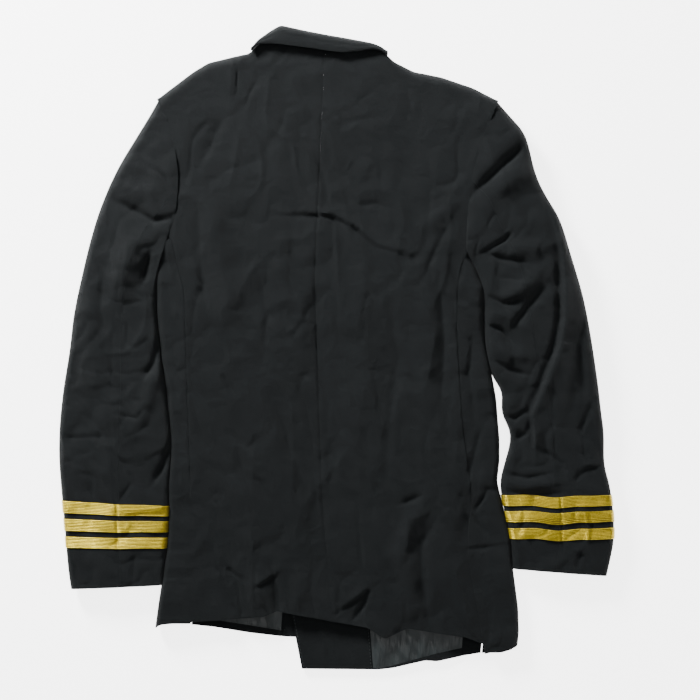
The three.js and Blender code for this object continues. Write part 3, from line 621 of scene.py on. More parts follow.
class Shader:
    """A material's tree, with one method that makes its nodes."""

    def __init__(self, name: str) -> None:
        """Start a material with an empty tree."""
        self.material = bpy.data.materials.new(name)
        self.material.use_nodes = True
        self.tree = self.material.node_tree
        self.tree.nodes.clear()

    def node(self, kind: str, settings: dict, inputs: dict, output: int | str = 0) -> Val:
        """Add a node.

        Args:
            kind: The node's type.
            settings: Properties that are set first; "ramp" holds a ramp's stops.
            inputs: Values or links for its sockets.
            output: Which output to return.

        Returns:
            The output, wrapped.
        """
        made = self.tree.nodes.new(kind)
        for key, value in settings.items():
            if key == "ramp":
                for index, (place, colour) in enumerate(value):
                    ramp = made.color_ramp.elements
                    stop = ramp[index] if index < 2 else ramp.new(place)
                    stop.position = place
                    stop.color = (*colour, 1.0)
            else:
                setattr(made, key, value)
        for key, value in inputs.items():
            if isinstance(value, Val):
                self.tree.links.new(value.socket, made.inputs[key])
            else:
                made.inputs[key].default_value = value
        return Val(self, made.outputs[output])

    def place(self, scale: tuple[float, float, float], turn: float = 0.0) -> Val:
        """Read object coordinates, turned about Z and scaled."""
        where = self.node("ShaderNodeTexCoord", {}, {}, "Object")
        sockets = {"Vector": where, "Scale": scale, "Rotation": (0.0, 0.0, turn)}
        return self.node("ShaderNodeMapping", {}, sockets)

    def noise(self, where: Val, scale: float, detail: float = 2.0) -> Val:
        """Add smooth noise from 0 to 1."""
        sockets = {"Vector": where, "Scale": scale, "Detail": detail}
        return self.node("ShaderNodeTexNoise", {}, sockets, "Fac")

    def finish(self, shader_inputs: dict) -> bpy.types.Material:
        """Close the tree with a Principled shader.

        Args:
            shader_inputs: Values or links for its sockets.

        Returns:
            The material.
        """
        surface = self.node("ShaderNodeBsdfPrincipled", {}, shader_inputs)
        self.node_output(surface)
        return self.material

    def node_output(self, surface: Val) -> None:
        """Add the output node."""
        made = self.tree.nodes.new("ShaderNodeOutputMaterial")
        self.tree.links.new(surface.socket, made.inputs["Surface"])

    def bump(self, height: Val, depth: float, strength: float = 1.0) -> Val:
        """Turn a height into a normal."""
        sockets = {"Height": height, "Distance": depth, "Strength": strength}
        return self.node("ShaderNodeBump", {}, sockets, "Normal")


@dataclass(frozen=True)
class WoolFinish:
    """Matt twill of a wool blend."""

    name: str = "wool_blend_twill"
    deep: tuple[float, float, float] = (0.0016, 0.0026, 0.0030)
    light: tuple[float, float, float] = (0.0088, 0.0104, 0.0112)
    roughness: float = 0.88
    sheen: float = 0.03

    def make(self) -> bpy.types.Material:
        """Build the material."""
        shader = Shader(self.name)
        plain = shader.place((1.0, 1.0, 1.0))
        twill = shader.place((1.0, 1.0, 1.0), math.radians(35))
        rib_sockets = {"Vector": twill, "Scale": 420.0, "Distortion": 1.5, "Detail": 1.0}
        ribs = shader.node("ShaderNodeTexWave", {"wave_type": "BANDS"}, rib_sockets, "Fac")
        fibre = shader.noise(plain, 900.0, 3.0)
        clumps = shader.noise(plain, 46.0, 4.0)
        wear = shader.noise(plain, 11.0, 3.0)
        tone = fibre * 0.5 + ribs * 0.16 + clumps * 0.2 + wear * 0.2
        ramp = {"ramp": ((0.28, self.deep), (0.74, self.light))}
        colour = shader.node("ShaderNodeValToRGB", ramp, {"Fac": tone}, "Color")
        normal = shader.bump(fibre * 0.35 + ribs * 0.4 + clumps * 3.2 + wear * 5.0, 0.0012, 0.9)
        inputs = {
            "Base Color": colour,
            "Roughness": self.roughness,
            "Normal": normal,
            "Sheen Weight": self.sheen,
            "Sheen Roughness": 0.45,
            "Specular IOR Level": 0.14,
        }
        return shader.finish(inputs)


@dataclass(frozen=True)
class SatinFinish:
    """Sateen lining with fine wrinkles; its colour follows them, with painted shade in their hollows and
    painted light on their crests.
    """

    name: str = "lining_sateen"
    # deep is the lining's tone darkened as painted shade for the wrinkles' hollows, light its tone
    # brightened as painted light for their crests.
    deep: tuple[float, float, float] = (0.005, 0.008, 0.0085)
    light: tuple[float, float, float] = (0.018, 0.024, 0.025)

    def make(self) -> bpy.types.Material:
        """Build the material."""
        shader = Shader(self.name)
        plain = shader.place((1.0, 1.0, 1.0))
        long = shader.place((2.4, 0.5, 1.0), math.radians(14))
        wrinkle_height_and_shade = shader.noise(long, 34.0, 3.0)
        yarn = shader.noise(plain, 700.0, 2.0)
        # The colour ramp reads mostly the wrinkle height: painted shade in the hollows, painted light on
        # the crests.
        ramp = {"ramp": ((0.3, self.deep), (0.7, self.light))}
        colour = shader.node("ShaderNodeValToRGB", ramp, {"Fac": wrinkle_height_and_shade * 0.7 + yarn * 0.3}, "Color")
        normal = shader.bump(wrinkle_height_and_shade * 1.5 + yarn * 0.1, 0.004, 0.8)
        inputs = {"Base Color": colour, "Roughness": 0.42, "Normal": normal, "Specular IOR Level": 0.5}
        return shader.finish(inputs)


@dataclass(frozen=True)
class GoldFinish:
    """Metallic gold thread, or polished brass when it is smooth."""

    name: str
    deep: tuple[float, float, float]
    light: tuple[float, float, float]
    roughness: float
    metallic: float

    def make(self) -> bpy.types.Material:
        """Build the material."""
        shader = Shader(self.name)
        plain = shader.place((1.0, 1.0, 1.0))
        fine = shader.noise(plain, 620.0, 3.0)
        worn = shader.noise(plain, 60.0, 3.0)
        ramp = {"ramp": ((0.25, self.deep), (0.75, self.light))}
        colour = shader.node("ShaderNodeValToRGB", ramp, {"Fac": fine * 0.6 + worn * 0.4}, "Color")
        normal = shader.bump(fine, 0.0004, 0.7)
        inputs = {
            "Base Color": colour,
            "Roughness": self.roughness,
            "Metallic": self.metallic,
            "Normal": normal,
        }
        return shader.finish(inputs)


@dataclass(frozen=True)
class Finishes:
    """The jacket's materials."""

    wool: bpy.types.Material
    satin: bpy.types.Material
    lace: bpy.types.Material
    lace_ground_painted_shade: bpy.types.Material
    brass: bpy.types.Material

    @staticmethod
    def make() -> "Finishes":
        """Build every material."""
        thread = GoldFinish("gold_lace_thread", (0.30, 0.21, 0.010), (0.84, 0.66, 0.04), 0.42, 0.75)
        # The lace ground gets a darker gold than the threads: painted shade between the threads.
        ground = GoldFinish("gold_lace_ground", (0.12, 0.08, 0.004), (0.30, 0.21, 0.015), 0.5, 0.5)
        brass = GoldFinish("plain_brass", (0.50, 0.36, 0.10), (0.62, 0.46, 0.16), 0.3, 1.0)
        return Finishes(
            WoolFinish().make(), SatinFinish().make(), thread.make(), ground.make(), brass.make()
        )


class ThreadWorks:
    """Geometry Nodes trees that turn paths into thread, whole or in stitches."""

    def __init__(self, name: str, stitched: bool, material: bpy.types.Material) -> None:
        """Build the tree.

        Args:
            name: Name of the tree.
            stitched: Whether it makes separate stitches instead of whole thread.
            material: The thread's finish.
        """
        self.tree = bpy.data.node_groups.new(name, "GeometryNodeTree")
        face = self.tree.interface
        face.new_socket("Path", in_out="INPUT", socket_type="NodeSocketGeometry")
        self.radius_id = self._number("Thread Radius", 0.0003)
        self.length_id = self._number("Stitch Length", 0.002)
        self.pitch_id = self._number("Stitch Pitch", 0.003)
        face.new_socket("Thread", in_out="OUTPUT", socket_type="NodeSocketGeometry")
        start = self.tree.nodes.new("NodeGroupInput")
        end = self.tree.nodes.new("NodeGroupOutput")
        curve = self._add("GeometryNodeMeshToCurve", {"Mesh": start.outputs["Path"]})
        if stitched:
            made = self._stitches(start, curve)
        else:
            made = self._whole(start, curve)
        real = self._add("GeometryNodeRealizeInstances", {"Geometry": made})
        dressed = self._add("GeometryNodeSetMaterial", {"Geometry": real})
        dressed.node.inputs["Material"].default_value = material
        self.tree.links.new(dressed, end.inputs["Thread"])

    def _number(self, name: str, value: float) -> str:
        """Add a named size to the tree and return its identifier."""
        socket = self.tree.interface.new_socket(name, in_out="INPUT", socket_type="NodeSocketFloat")
        socket.default_value = value
        return socket.identifier

    def _add(self, kind: str, links: dict) -> bpy.types.NodeSocket:
        """Add a node, link its inputs and return its first output."""
        made = self.tree.nodes.new(kind)
        for key, value in links.items():
            if isinstance(value, bpy.types.NodeSocket):
                self.tree.links.new(value, made.inputs[key])
            else:
                made.inputs[key].default_value = value
        return made.outputs[0]

    def _whole(self, start: bpy.types.Node, curve: bpy.types.NodeSocket) -> bpy.types.NodeSocket:
        """Sweep a round profile along each path."""
        sizes = {"Resolution": 5, "Radius": start.outputs["Thread Radius"]}
        ring = self._add("GeometryNodeCurvePrimitiveCircle", sizes)
        sweep = {"Curve": curve, "Profile Curve": ring, "Fill Caps": True}
        return self._add("GeometryNodeCurveToMesh", sweep)

    def _stitches(self, start: bpy.types.Node, curve: bpy.types.NodeSocket) -> bpy.types.NodeSocket:
        """Lay a short thread at every pitch along each path."""
        points = self.tree.nodes.new("GeometryNodeCurveToPoints")
        points.mode = "LENGTH"
        self.tree.links.new(curve, points.inputs["Curve"])
        self.tree.links.new(start.outputs["Stitch Pitch"], points.inputs["Length"])
        sizes = {
            "Vertices": 6,
            "Radius": start.outputs["Thread Radius"],
            "Depth": start.outputs["Stitch Length"],
        }
        rod = self._add("GeometryNodeMeshCylinder", sizes)
        inputs = {"Points": points.outputs["Points"], "Instance": rod}
        placed = self._add("GeometryNodeInstanceOnPoints", inputs)
        self.tree.links.new(points.outputs["Rotation"], placed.node.inputs["Rotation"])
        return placed

    def spin(self, name: str, paths: list[Array], closed: bool, radius: float, length: float = 2.0,
             pitch: float = 3.0) -> bpy.types.Object:
        """Make thread along paths, as a plain mesh.

        Args:
            name: Name of the piece.
            paths: The paths, in millimetres.
            closed: Whether they are rings.
            radius: Thread radius, in millimetres.
            length: Stitch length, in millimetres.
            pitch: Distance from one stitch to the next, in millimetres.

        Returns:
            The piece.
        """
        guide = Weave.thread(name + "_path", paths, closed)
        modifier = guide.modifiers.new("thread", "NODES")
        modifier.node_group = self.tree
        modifier[self.radius_id] = radius * MM
        modifier[self.length_id] = length * MM
        modifier[self.pitch_id] = pitch * MM
        graph = bpy.context.evaluated_depsgraph_get()
        graph.update()
        data = bpy.data.meshes.new_from_object(guide.evaluated_get(graph))
        guide.modifiers.clear()
        bpy.data.objects.remove(guide)
        data.name = name
        data.polygons.foreach_set("use_smooth", [True] * len(data.polygons))
        piece = bpy.data.objects.new(name, data)
        bpy.context.scene.collection.objects.link(piece)
        return piece


@dataclass
class Body:
    """The backs, side panels, fronts, lapels and what shows of the insides."""

    finishes: Finishes
    columns: int = 90
    rows: int = 260

    def back_edge(self, side: Side, y: Array) -> Array:
        """Place of the back's outer edge: the armhole seam, then the side-back seam."""
        inward = side.value
        armhole = ARMHOLES[side].across(y) + inward * 0.3
        lap = SEWN_LAP * smooth(y, VENT_TOP[side], VENT_TOP[side] + SEWN_EASE)
        seam = SIDE_SEAM[side](y) - inward * (lap - SEAM)
        if side is Side.RIGHT:
            seam = seam + VENT_LAP * smooth(y, VENT_TOP[side], VENT_TOP[side] - VENT_EASE)
        return np.where(y > SEAM_TOP[side], armhole, seam)

    def back_face(self, x: Array, y: Array) -> Array:
        """Height of the back, which dips under the side panels' edges and the right one's vent."""
        seam = SIDE_SEAM[Side.RIGHT](y)
        vent = smooth(y, VENT_TOP[Side.RIGHT] + 25, VENT_TOP[Side.RIGHT])
        drop = VENT_DROP * smooth(x, seam - VENT_SLOPE, seam - VENT_FLAT) * vent
        for side in Side:
            above_vent = smooth(y, VENT_TOP[side], VENT_TOP[side] + SEWN_EASE)
            sewn = above_vent * smooth(y, SEAM_TOP[side] + 4, SEAM_TOP[side] - 4)
            past = (x - SIDE_SEAM[side](y)) * side.value
            drop = drop + SEWN_DROP * smooth(past, 1.0, -0.4) * sewn
        return back_height(x, y) - drop

    def back(self, side: Side) -> bpy.types.Object:
        """Make one back."""
        u = np.linspace(0.0, 1.0, self.columns)
        if side is Side.LEFT:
            top = TOP_LINE(mix(-218.0, -14.0, u))
            hem = BACK_HEM(mix(-118.0, -5.0, u))
            edges = (lambda y: self.back_edge(side, y), lambda y: CENTRE_SEAM(y) - CENTRE_GAP)
        else:
            top = TOP_LINE(mix(-14.0, 196.0, u))
            hem = BACK_HEM(mix(-5.0, 190.0, u))
            edges = (lambda y: CENTRE_SEAM(y) + CENTRE_GAP, lambda y: self.back_edge(side, y))
        outer, inner = lay_panel(*edges, top, hem, self.back_face, 1, self.rows)
        return Weave.wall(f"cloth_back_{side.word}", outer, inner)

    def side_panel(self, side: Side) -> bpy.types.Object:
        """Make one side panel, from its seam on the back round the folded side to beneath."""
        inward = side.value
        stretches = (np.linspace(0, 0.3, 22), np.linspace(0.3, 0.7, 26)[1:], np.linspace(0.7, 1, 8)[1:])
        p = np.concatenate(stretches)[:, None]
        low = ARMHOLES[side].underarm[1] - 2
        reach = ARMHOLE_REACH if side is Side.LEFT else 0.0
        rise = UNDERARM_RISE * np.clip(p * 2 - 1, 0, 1)
        rise = rise + reach * np.clip(1 - (p - 0.3) / 0.2, 0, 1) * (p >= 0.3)
        start = np.where(p <= 0.3, mix(SEAM_TOP[side] - 1, low + reach, p / 0.3), low + rise)
        top_hem, fold_hem = (-327.0, -340.0) if side is Side.LEFT else (-371.0, -360.0)
        front_hem = LEFT_HEM if side is Side.LEFT else RIGHT_HEM
        under_hem = front_hem(BODY_FOLD[side](np.array(fold_hem)) + inward * 30)
        upper_end = mix(top_hem, fold_hem, np.clip(p / 0.5, 0, 1))
        end = mix(upper_end, under_hem, np.clip((p - 0.5) / 0.3, 0, 1))
        v = np.linspace(0.0, 1.0, 240)[None, :]
        y = mix(start, end, v)
        fold = BODY_FOLD[side](y)
        high = back_height(fold + inward * 12, y)
        round_in = high * 0.45
        seam = SIDE_SEAM[side](y)
        drop = np.zeros(y.shape)
        x_top = mix(seam, fold + inward * round_in, p / 0.3)
        if side is Side.LEFT:
            lap = VENT_LAP * smooth(y, VENT_TOP[side], VENT_TOP[side] - VENT_EASE)
            x_top = mix(seam + lap, fold + inward * round_in, p / 0.3)
            vent = smooth(y, VENT_TOP[side] + 30, VENT_TOP[side])
            drop = VENT_DROP * smooth(x_top, seam - VENT_SLOPE, seam - VENT_FLAT) * vent
        z_top = mix(back_height(x_top, y), high, smooth(p, 0.12, 0.3)) - drop
        turn = np.clip((p - 0.3) / 0.4, 0, 1) * math.pi
        half = high / 2
        x_fold = fold + inward * round_in * (1 - np.sin(turn))
        z_fold = half + half * np.cos(turn)
        x_under = fold + inward * mix(round_in, side_wrap(side, y), (p - 0.7) / 0.3)
        above, below = p <= 0.3, p > 0.7
        x = np.where(above, x_top, np.where(below, x_under, x_fold))
        z = np.where(above, z_top, np.where(below, 0.0, z_fold))
        x_fold_in = fold + inward * (round_in - (round_in - WALL) * np.sin(turn))
        z_fold_in = half + (half - WALL) * np.cos(turn)
        xi = np.where(above, x_top, np.where(below, x_under, x_fold_in))
        zi = np.where(above, z_top - WALL, np.where(below, WALL, z_fold_in))
        outer = np.stack([x, y, z], -1)
        inner = np.stack([xi, y, zi], -1)
        return Weave.wall(f"cloth_side_{side.word}", outer, inner)

    def front(self, side: Side) -> bpy.types.Object:
        """Make one front."""
        u = np.linspace(0.0, 1.0, 61)
        if side is Side.LEFT:
            top = TOP_LINE(mix(-218.0, -106.0, u))
            hem = LEFT_HEM(mix(-180.0, OVERLAP_X, u))
            edges = (lambda y: front_seam(side, y), lambda y: front_edge(side, y))
        else:
            top = TOP_LINE(mix(69.0, 196.0, u))
            hem = RIGHT_HEM(mix(-43.0, 176.0, u))
            edges = (lambda y: front_edge(side, y), lambda y: front_seam(side, y))
        outer, inner = lay_panel(*edges, top, hem, FRONT_FACE[side], -1, 110)
        return Weave.wall(f"cloth_front_{side.word}", outer, inner)

    def inside(self, name: str, side: Side, shares: tuple[float, float], top: Callable, above: Callable,
               wrinkles: float) -> bpy.types.Object:
        """Make what lies on the inside of a front, from the front's points moved up.

        Args:
            name: Name of the piece.
            side: Which front.
            shares: From where to where across the front.
            top: Height of its upper edge, from a place across and the hem there.
            above: Height of its lower edge over the hem, from a place across.
            wrinkles: Height of its wrinkles, in millimetres.

        Returns:
            The piece.
        """
        share = np.linspace(*shares, 70)[:, None]
        hem_line = LEFT_HEM if side is Side.LEFT else RIGHT_HEM

        def place(y: Array) -> Array:
            return mix(front_edge(side, y), front_seam(side, y), share)

        guide = place(np.full(share.shape, -352.0 if side is Side.LEFT else -385.0))
        hem = hem_line(guide)
        v = np.linspace(0.0, 1.0, 40)[None, :]
        y = mix(top(guide, hem), hem + above(guide) + SEAM, v)
        x = place(y)
        across = (share - shares[0]) / (shares[1] - shares[0])
        middle = np.sin(np.pi * v) ** 0.5 * np.sin(np.pi * across) ** 0.5
        uneven = ripple(x * 1.6, y * 0.5, 15, 21) + 0.6 * ripple(x * 1.3 + y, y * 0.4, 9, 22)
        rumple = wrinkles * middle * np.abs(uneven)
        z = FRONT_FACE[side](x, y) + WALL + 0.3
        outer = np.stack([x, y, z + LINING + rumple], -1)
        inner = np.stack([x, y, z + rumple * 0.8], -1)
        return Weave.wall(name, outer, inner)

    def lapel(self, side: Side) -> bpy.types.Object:
        """Make one lapel, under its front."""
        y = np.linspace(64.0 if side is Side.LEFT else 150.0, 338.0, 90)[:, None]
        edge = front_edge(side, y)
        start = edge if side is Side.LEFT else np.maximum(edge, front_edge(Side.LEFT, y) + 1)
        t = np.linspace(0.0, 1.0, 30)[None, :]
        x = mix(start - side.value * 1.5, edge - side.value * LAPEL_WIDE(y), t)
        y = np.broadcast_to(y, x.shape)
        z = FRONT_FACE[side](x, y) - 0.3
        outer = np.stack([x, y, z - WALL], -1)
        inner = np.stack([x, y, z], -1)
        return Weave.wall(f"cloth_lapel_{side.word}", outer, inner)

    def build(self) -> None:
        """Make and dress the whole body."""
        wool, satin = self.finishes.wool, self.finishes.satin
        for side in Side:
            word = side.word
            for piece, node in (
                (self.back(side), f"back_{word}"),
                (self.side_panel(side), f"side_{word}"),
                (self.front(side), f"front_{word}"),
                (self.lapel(side), f"lapel_{word}"),
            ):
                settle(piece, wool, (node,))

        def high(x: Array, hem: Array) -> Array:
            return np.full(np.shape(x), -280.0)

        def low(x: Array) -> Array:
            return np.zeros(np.shape(x))

        left = (0.565, 0.96)
        right = (FACING_SHARE + 0.002, 0.895)
        parts = (
            ("lining_left", Side.LEFT, left, high, LEFT_TURN, 1.6, satin, "lining"),
            ("hem_left", Side.LEFT, left, lambda x, hem: hem + LEFT_TURN(x), low, 0.3, wool, "cloth"),
            ("facing_right", Side.RIGHT, (0.003, FACING_SHARE - 0.002), high, low, 0.6, wool, "cloth"),
            ("lining_right", Side.RIGHT, right, high, RIGHT_TURN, 2.2, satin, "lining"),
            ("hem_right", Side.RIGHT, right, lambda x, hem: hem + RIGHT_TURN(x), low, 0.3, wool, "cloth"),
        )
        for node, side, shares, top, above, wrinkles, finish, slot in parts:
            piece = self.inside(f"cloth_{node}", side, shares, top, above, wrinkles)
            settle(piece, finish, (node,))


COLLAR_LEAF = Curve(((-104, 362), (-96, 370), (-79, 371), (-68, 370), (-36, 366), (-10, 362), (8, 360),
                     (30, 362), (44, 364), (54, 362), (62, 357)), soft=3)
COLLAR_ROLL = Curve(((-104, 367), (-96, 377), (-79, 389), (-68, 395), (-36, 388), (-10, 383), (8, 380),
                     (30, 376), (44, 373), (54, 369), (62, 363)), soft=4)
COLLAR_HIGH = Curve(((-104, 31), (-79, 34), (44, 33), (62, 31)))


@dataclass
class Collar:
    """The turned-down leaf and the stand inside it."""

    finishes: Finishes
    foot: float = 7.0
    thick: float = 2.2

    def leaf(self) -> bpy.types.Object:
        """Make the leaf, from its free edge round the roll to its foot."""
        x = np.linspace(-104.0, 62.0, 150)[:, None]
        edge, roll, high = COLLAR_LEAF(x), COLLAR_ROLL(x), COLLAR_HIGH(x)
        round_in = np.minimum(10.0, (roll - edge) * 0.6)
        half = (high - self.foot) / 2
        middle = self.foot + half
        t = np.linspace(0.0, 1.0, 14)[None, :-1]
        y_flat = mix(edge, roll - round_in, t)
        bulge = 0.8 * np.sin(np.pi * t) + 0.5 * ripple(x + 0 * t, y_flat, 19, 31)
        flat = np.stack([x + 0 * t, y_flat, high + bulge], -1)
        flat_in = np.stack([x + 0 * t, y_flat, high + bulge - self.thick], -1)
        turn = np.linspace(0.0, math.pi, 26)[None, :]
        small = np.maximum(round_in - self.thick, 0.3)
        ease = 0.5 * ripple(x + 0 * turn, 40 * turn, 19, 31) * np.cos(turn / 2)
        across = x + 0 * turn
        centre = roll - round_in
        arc_high = middle + half * np.cos(turn) + ease
        arc = np.stack([across, centre + round_in * np.sin(turn), arc_high], -1)
        arc_in_high = middle + (half - self.thick) * np.cos(turn) + ease
        arc_in = np.stack([across, centre + small * np.sin(turn), arc_in_high], -1)
        outer, inner = np.concatenate([flat, arc], 1), np.concatenate([flat_in, arc_in], 1)
        return Weave.wall("cloth_collar_leaf", outer, inner)

    def stand(self) -> bpy.types.Object:
        """Make the stand, which rises from the neck seam inside the leaf."""
        x = np.linspace(-79.0, 44.0, 90)[:, None]
        roll, high, neck = COLLAR_ROLL(x), COLLAR_HIGH(x), TOP_LINE(x)
        t = np.linspace(0.0, 1.0, 14)[None, :]
        y = mix(neck + 0.3, np.maximum(roll - 7.5, neck + 2.5), t)
        z = mix(BODY_HIGH(neck) - 0.5, high - 5.0, t * t)
        outer = np.stack([x + 0 * t, y, z], -1)
        return Weave.wall("cloth_collar_stand", outer, outer - np.array([0.0, 0.0, WALL]))

    def build(self) -> None:
        """Make and dress the collar."""
        for piece, node in ((self.leaf(), "collar_leaf"), (self.stand(), "collar_stand")):
            settle(piece, self.finishes.wool, (node,))


SLEEVE_COLUMNS = ("ox", "oy", "ix", "iy", "bow", "under", "high")
LEFT_SLEEVE_ROWS = (
    (-217.2, 305, -217.6, 103, 25, 0, 27),
    (-230, 282, -217.4, 100, 22, 0, 29),
    (-245, 258, -217.7, 94, 18, 0, 29),
    (-268, 221, -218.6, 84, 13, 0, 27),
    (-288, 176, -218.9, 70, 8, 0, 26),
    (-301, 134, -219.6, 50, 4, 0, 25),
    (-312, 88, -217.6, 22, 2, 0, 24),
    (-322, 42, -214.2, -10, 0, 0, 23),
    (-326, 0, -209, -44, 0, 0, 22),
    (-334, -44, -204, -82, 0, 0, 21),
    (-339, -90, -201, -118, 0, 0, 20),
    (-340, -130, -203, -148, 0, 0.5, 19),
    (-337, -168, -205, -177, 0, 1.5, 18),
    (-333, -212, -205.6, -214, 0, 1.5, 17),
    (-330, -252, -208.6, -252, 0, 1.5, 16),
    (-328, -274, -210.4, -271, 0, 1.5, 15),
    (-325, -292, -212, -287, 0, 1.5, 15),
)
RIGHT_SLEEVE_ROWS = (
    (195.2, 303.4, 157.8, 120.6, -11, 0, 27),
    (212, 284, 156.6, 117, -10, 0, 29),
    (232, 262, 160.2, 111, -9, 0, 29),
    (241, 216, 165.6, 102, -7, 0, 27),
    (256, 186, 170.8, 92, -6, 0, 27),
    (273, 160, 176.4, 77, -4, 0, 27),
    (285, 118, 179.4, 54, -3, 0, 27),
    (300, 70, 179.6, 24, -1, 0, 28),
    (309, 25, 182.2, -4, 0, 0, 27),
    (316, -20, 188.8, -32, 0, 0, 25),
    (320, -48, 203, -51, 0, 0, 23),
    (323, -76, 200, -77, 0, 0, 22),
    (327, -102, 215, -103, 0, 0, 21),
    (326, -140, 204.5, -140, 0, 0.5, 20),
    (334, -165, 198.2, -164, 0, 1.5, 19),
    (339, -206, 206.7, -207, 0, 1.5, 17),
    (339, -234, 213.1, -234, 0, 1.5, 16),
    (335, -254, 213.3, -252, 0, 1.5, 15),
    (330, -276, 213.7, -267, 0, 1.5, 15),
)
CAP, FLAT = 0.08, 0.34
HIND_SEAM, FORE_SEAM = 0.55, 0.3
SLEEVE_CROWN = 2.5
DEEPEST_FOLD = -8.0
THREADS_ACROSS = 8
ROUND_STEPS = 281


@dataclass
class Sleeve:
    """One sleeve with its two pieces and three bands of lace."""

    finishes: Finishes
    threads: ThreadWorks
    side: Side
    sections: tuple[tuple[float, ...], ...]
    folds: tuple[Stroke, ...]
    lace_lowest: float
    lace_wave: float
    band: float = 14.3
    pitch: float = 20.7

    def section(self, at: Array) -> dict[str, Array]:
        """Read the sleeve's table smoothly between its rows."""
        places = np.arange(len(self.sections))
        table = np.array(self.sections, dtype=float)
        read = {}
        for number, name in enumerate(SLEEVE_COLUMNS):
            shifts, weights = (-0.5, -0.25, 0.0, 0.25, 0.5), (0.14, 0.22, 0.28, 0.22, 0.14)
            blended = [w * np.interp(at + s, places, table[:, number]) for s, w in zip(shifts, weights)]
            exact = np.interp(at, places, table[:, number])
            ends = smooth(at, 0.0, 0.6) * smooth(at, len(table) - 1.0, len(table) - 1.6)
            read[name] = mix(exact, np.sum(blended, axis=0), ends)
        return read

    def point(self, at: Array, t: Array, out: float) -> Array:
        """Points on the sleeve's flattened ring.

        Args:
            at: Places along the sleeve, in rows of its table.
            t: Places round it, from the outer fold over the upper cloth.
            out: How far off the cloth the points lie.

        Returns:
            The points, in millimetres.
        """
        at, t = np.broadcast_arrays(at, t)
        row = self.section(at)
        width = np.hypot(row["ix"] - row["ox"], row["iy"] - row["oy"])
        high = row["high"]
        round_in, half = high * 0.45, high / 2
        turn = t - np.floor(t)
        outer_angle = np.where(turn > 0.5, turn - 1, turn) / CAP * math.pi / 2
        inner_angle = ((turn - CAP - FLAT) / CAP - 1) * math.pi / 2
        upper = np.clip((turn - CAP) / FLAT, 0, 1)
        lower = np.clip((turn - 3 * CAP - FLAT) / FLAT, 0, 1)
        on_outer = (turn <= CAP) | (turn >= 1 - CAP)
        on_upper = turn < CAP + FLAT
        on_inner = turn <= 3 * CAP + FLAT
        along = np.where(
            on_outer,
            round_in - (round_in + out) * np.cos(outer_angle),
            np.where(
                on_upper,
                mix(round_in, width - round_in, upper),
                np.where(
                    on_inner,
                    width - round_in + (round_in + out) * np.cos(inner_angle),
                    mix(width - round_in, round_in, lower),
                ),
            ),
        )
        z = np.where(
            on_outer,
            half + (half + out) * np.sin(outer_angle),
            np.where(
                on_upper,
                high + out + SLEEVE_CROWN * np.sin(math.pi * upper),
                np.where(on_inner, half - (half + out) * np.sin(inner_angle), -out),
            ),
        )
        share = np.clip(along / width, 0, 1)
        bowed = 4 * share * (1 - share) * row["bow"]
        cx, cy = (row["ix"] - row["ox"]) / width, (row["iy"] - row["oy"]) / width
        x = row["ox"] + cx * along - cy * bowed
        y = row["oy"] + cy * along + cx * bowed
        top = np.clip((z / high - 0.5) * 2, 0, 1)
        seed = 40 + self.side.value
        uneven = 0.9 * ripple(x, y * 1.4, 34, seed) + 0.4 * ripple(x, y, 14, seed + 3)
        uneven = uneven + 1.6 * crumple(x, y * 0.7, 38, seed + 7) - 1.2 * crumple(x, y, 26, seed + 9)
        folds = np.maximum(1.1 * fold_sum(self.folds, x, y) + uneven, DEEPEST_FOLD)
        return np.stack([x, y, row["under"] + z + folds * top], -1)

    def panel(self, name: str, start: float, end: float) -> bpy.types.Object:
        """Make one piece of the sleeve."""
        at = np.linspace(0.0, len(self.sections) - 1.0, 270)[:, None]
        t = np.linspace(start, end, 76)[None, :]
        return Weave.wall(name, self.point(at, t, 0.0), self.point(at, t, -WALL))

    def place(self, distance: Array) -> Array:
        """Place in the table at a distance up from the cuff's hem."""
        table = np.array(self.sections, dtype=float)
        middle = np.stack([table[:, 0] + table[:, 2], table[:, 1] + table[:, 3]], -1) / 2
        lengths = np.hypot(*np.diff(middle[::-1], axis=0).T)
        reach = np.concatenate([[0.0], np.cumsum(lengths)])
        return np.interp(distance, reach, np.arange(len(table))[::-1])

    def wander(self, t: Array) -> Array:
        """How far a band of lace strays up or down round the sleeve."""
        t = t - np.floor(t)
        waves = np.sin(t * 17.0 + 0.6) + 0.5 * np.sin(t * 41.0)
        return self.lace_wave * waves * np.where(t < 0.5, np.sin(np.pi * t * 2), 0.0)

    def lace(self, number: int) -> bpy.types.Object:
        """Make one band: its woven ground, with threads along it on both edges and between."""
        t = np.linspace(0.0, 1.0, ROUND_STEPS)[:-1][None, :]
        start = self.lace_lowest + number * self.pitch
        across = np.linspace(0.0, self.band, 5)[:, None]
        at = self.place(start + across + self.wander(t))
        outer = self.point(at, t, 0.62)
        inner = self.point(at[::-1], t, 0.2)
        ring = np.concatenate([outer, inner], 0)
        rows, columns = ring.shape[:2]
        index = np.arange(rows * columns).reshape(rows, columns)
        after = np.roll(index, -1, axis=0)
        quads = np.stack([index, np.roll(index, -1, 1), np.roll(after, -1, 1), after], -1).reshape(-1, 4)
        name = f"lace_ground_{self.side.word}_{number + 1}"
        return Weave.mesh(name, ring.reshape(-1, 3) * MM, quads)

    def lace_threads(self, number: int) -> bpy.types.Object:
        """Make the ridged threads of one band."""
        t = np.linspace(0.0, 1.0, ROUND_STEPS)[:-1]
        start = self.lace_lowest + number * self.pitch
        paths = []
        for thread in range(THREADS_ACROSS):
            distance = start + self.band * (thread + 0.5) / THREADS_ACROSS
            paths.append(self.point(self.place(distance + self.wander(t)), t, 0.75))
        name = f"lace_threads_{self.side.word}_{number + 1}"
        return self.threads.spin(name, paths, True, 0.62)

